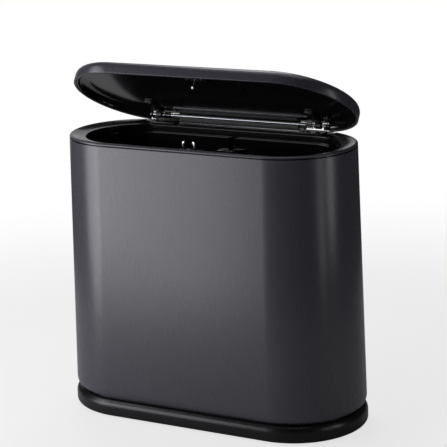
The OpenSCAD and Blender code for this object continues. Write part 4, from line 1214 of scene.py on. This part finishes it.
class BIN_OT_stage(BinPiece, Operator):
    """Stage: pale floor, plain surroundings that the camera sees as white, soft lights and the camera"""

    bl_idname = "bin.stage"
    bl_label = "Stage"

    def execute(self, context):
        scene, stage = context.scene, context.scene.bin_stage
        scene.view_settings.view_transform = "Standard"
        self.camera(scene, stage)
        self.world(scene, stage)
        self.floor(scene)
        light("Key", stage.key, (0.3, 0.75), -48, 5)
        light("Front", stage.front, (0.3, 0.75), -28, 5)
        light("Band", stage.band, (0.12, 0.45), -40, 5)
        light("Left", 0.8 * stage.band, (0.14, 0.45), -60, 4)
        light("High left", stage.band, (0.25, 0.3), -62, 30, 0.7)
        light("Strip", stage.strip, (0.15, 0.5), 92, 12, 0.95)
        light("Narrow strip", stage.strip / 2, (0.12, 0.5), 75, 8, 0.95)
        light("Back", stage.back, (0.9, 0.6), 218, 12)
        light("High back", stage.high, (0.5, 0.5), 212, 62)
        light("Top", stage.top, (0.8, 0.8), 0, 90)
        return {"FINISHED"}

    def camera(self, scene, stage):
        """Camera that looks past the pivot, so that the pivot falls on its pixel."""
        right = Vector((math.cos(stage.azimuth), math.sin(stage.azimuth), 0))
        back = way_to(stage.azimuth, stage.elevation)
        up = back.cross(right)
        across = math.cos(stage.roll) * right + math.sin(stage.roll) * up
        upward = math.cos(stage.roll) * up - math.sin(stage.roll) * right
        scale, middle = stage.distance / stage.focal, IMAGE_W / 2
        x0, y0 = (stage.centre_u - middle) * scale, (middle - stage.centre_v) * scale
        place = Vector((0, 0, stage.pivot)) - x0 * across - y0 * upward + stage.distance * back
        data = bpy.data.cameras.new("Camera")
        data.sensor_width = SENSOR_MM
        data.lens = stage.focal / IMAGE_W * SENSOR_MM
        data.clip_start, data.clip_end = 0.05, 20
        camera = place_mesh("Camera", data)
        camera.matrix_world = Matrix.Translation(place) @ Matrix((across, upward, back)).transposed().to_4x4()
        scene.camera = camera

    def world(self, scene, stage):
        """White where the camera looks, and faint everywhere else."""
        world = bpy.data.worlds.new("Surroundings")
        scene.world = world
        world.use_nodes = True
        tree = world.node_tree
        tree.nodes.clear()
        seen = add(tree, "ShaderNodeLightPath").outputs["Is Camera Ray"]
        plain = add(tree, "ShaderNodeBackground", {"Color": (1, 1, 1, 1), "Strength": stage.around})
        white = add(tree, "ShaderNodeBackground", {"Color": (1, 1, 1, 1), "Strength": 1})
        mix = add(tree, "ShaderNodeMixShader", {0: seen, 1: plain, 2: white})
        add(tree, "ShaderNodeOutputWorld", {"Surface": mix})

    def floor(self, scene):
        """Floor that fades into the surroundings and keeps the bin's shadow."""
        shape = bmesh.new()
        bmesh.ops.create_circle(shape, cap_ends=True, radius=3000, segments=96)
        floor = made("floor", shape)
        material = bpy.data.materials.new("Pale floor")
        material.use_nodes = True
        tree = material.node_tree
        shader = tree.nodes["Principled BSDF"]
        shader.inputs["Base Color"].default_value = (*scene.bin_finishes.floor, 1)
        shader.inputs["Roughness"].default_value = 0.7
        where = add(tree, "ShaderNodeTexCoord").outputs["Object"]
        away = add(tree, "ShaderNodeVectorMath", {0: where}, operation="LENGTH").outputs["Value"]
        # It fades between 0.35 m and 0.95 m away
        reach = {"Value": away, "From Min": 0.35, "From Max": 0.95}
        fade = add(tree, "ShaderNodeMapRange", reach, interpolation_type="SMOOTHSTEP")
        # The camera sees the floor paler, with its shadow, and reflections see little of it
        rays = add(tree, "ShaderNodeLightPath").outputs
        paler = add(tree, "ShaderNodeMath", {0: rays["Is Camera Ray"], 1: 0.72}, operation="MULTIPLY")
        fainter = add(tree, "ShaderNodeMath", {0: rays["Is Glossy Ray"], 1: 0.35}, operation="MULTIPLY")
        gone = add(tree, "ShaderNodeMath", {0: fade, 1: fainter}, operation="MAXIMUM")
        glow = add(tree, "ShaderNodeEmission", {"Color": (1, 1, 1, 1), "Strength": 1})
        pale = add(tree, "ShaderNodeMixShader", {0: paler, 1: shader, 2: glow})
        clear = add(tree, "ShaderNodeBsdfTransparent")
        mix = add(tree, "ShaderNodeMixShader", {0: gone, 1: pale, 2: clear})
        tree.links.new(mix.outputs[0], tree.nodes["Material Output"].inputs["Surface"])
        floor.data.materials.append(material)


STEPS = (
    BIN_OT_stage,
    BIN_OT_shell,
    BIN_OT_plinth,
    BIN_OT_feet,
    BIN_OT_bucket,
    BIN_OT_collar,
    BIN_OT_hinge_blocks,
    BIN_OT_hinge_rod,
    BIN_OT_springs,
    BIN_OT_hinge_arms,
    BIN_OT_lid,
    BIN_OT_liner,
    BIN_OT_striker,
    BIN_OT_latch,
    BIN_OT_screws,
)


class BIN_PT_panel(Panel):
    bl_idname = "BIN_PT_panel"
    bl_label = "Push top bin"
    bl_space_type = "VIEW_3D"
    bl_region_type = "UI"
    bl_category = "Bin"

    def draw(self, context):
        for name in GROUPS:
            box = self.layout.box()
            group = getattr(context.scene, name)
            for p in group.bl_rna.properties:
                if p.identifier not in ("rna_type", "name"):
                    box.prop(group, p.identifier)
        for step in STEPS:
            self.layout.operator(step.bl_idname)


def register():
    for name, group in GROUPS.items():
        bpy.utils.register_class(group)
        setattr(bpy.types.Scene, name, PointerProperty(type=group))
    for cls in (*STEPS, BIN_PT_panel):
        bpy.utils.register_class(cls)


def unregister():
    for cls in reversed((*STEPS, BIN_PT_panel)):
        bpy.utils.unregister_class(cls)
    for name, group in GROUPS.items():
        delattr(bpy.types.Scene, name)
        bpy.utils.unregister_class(group)


def main():
    register()
    for step in STEPS:
        getattr(bpy.ops.bin, step.bl_idname.split(".")[1])()


if __name__ == "__main__":
    main()
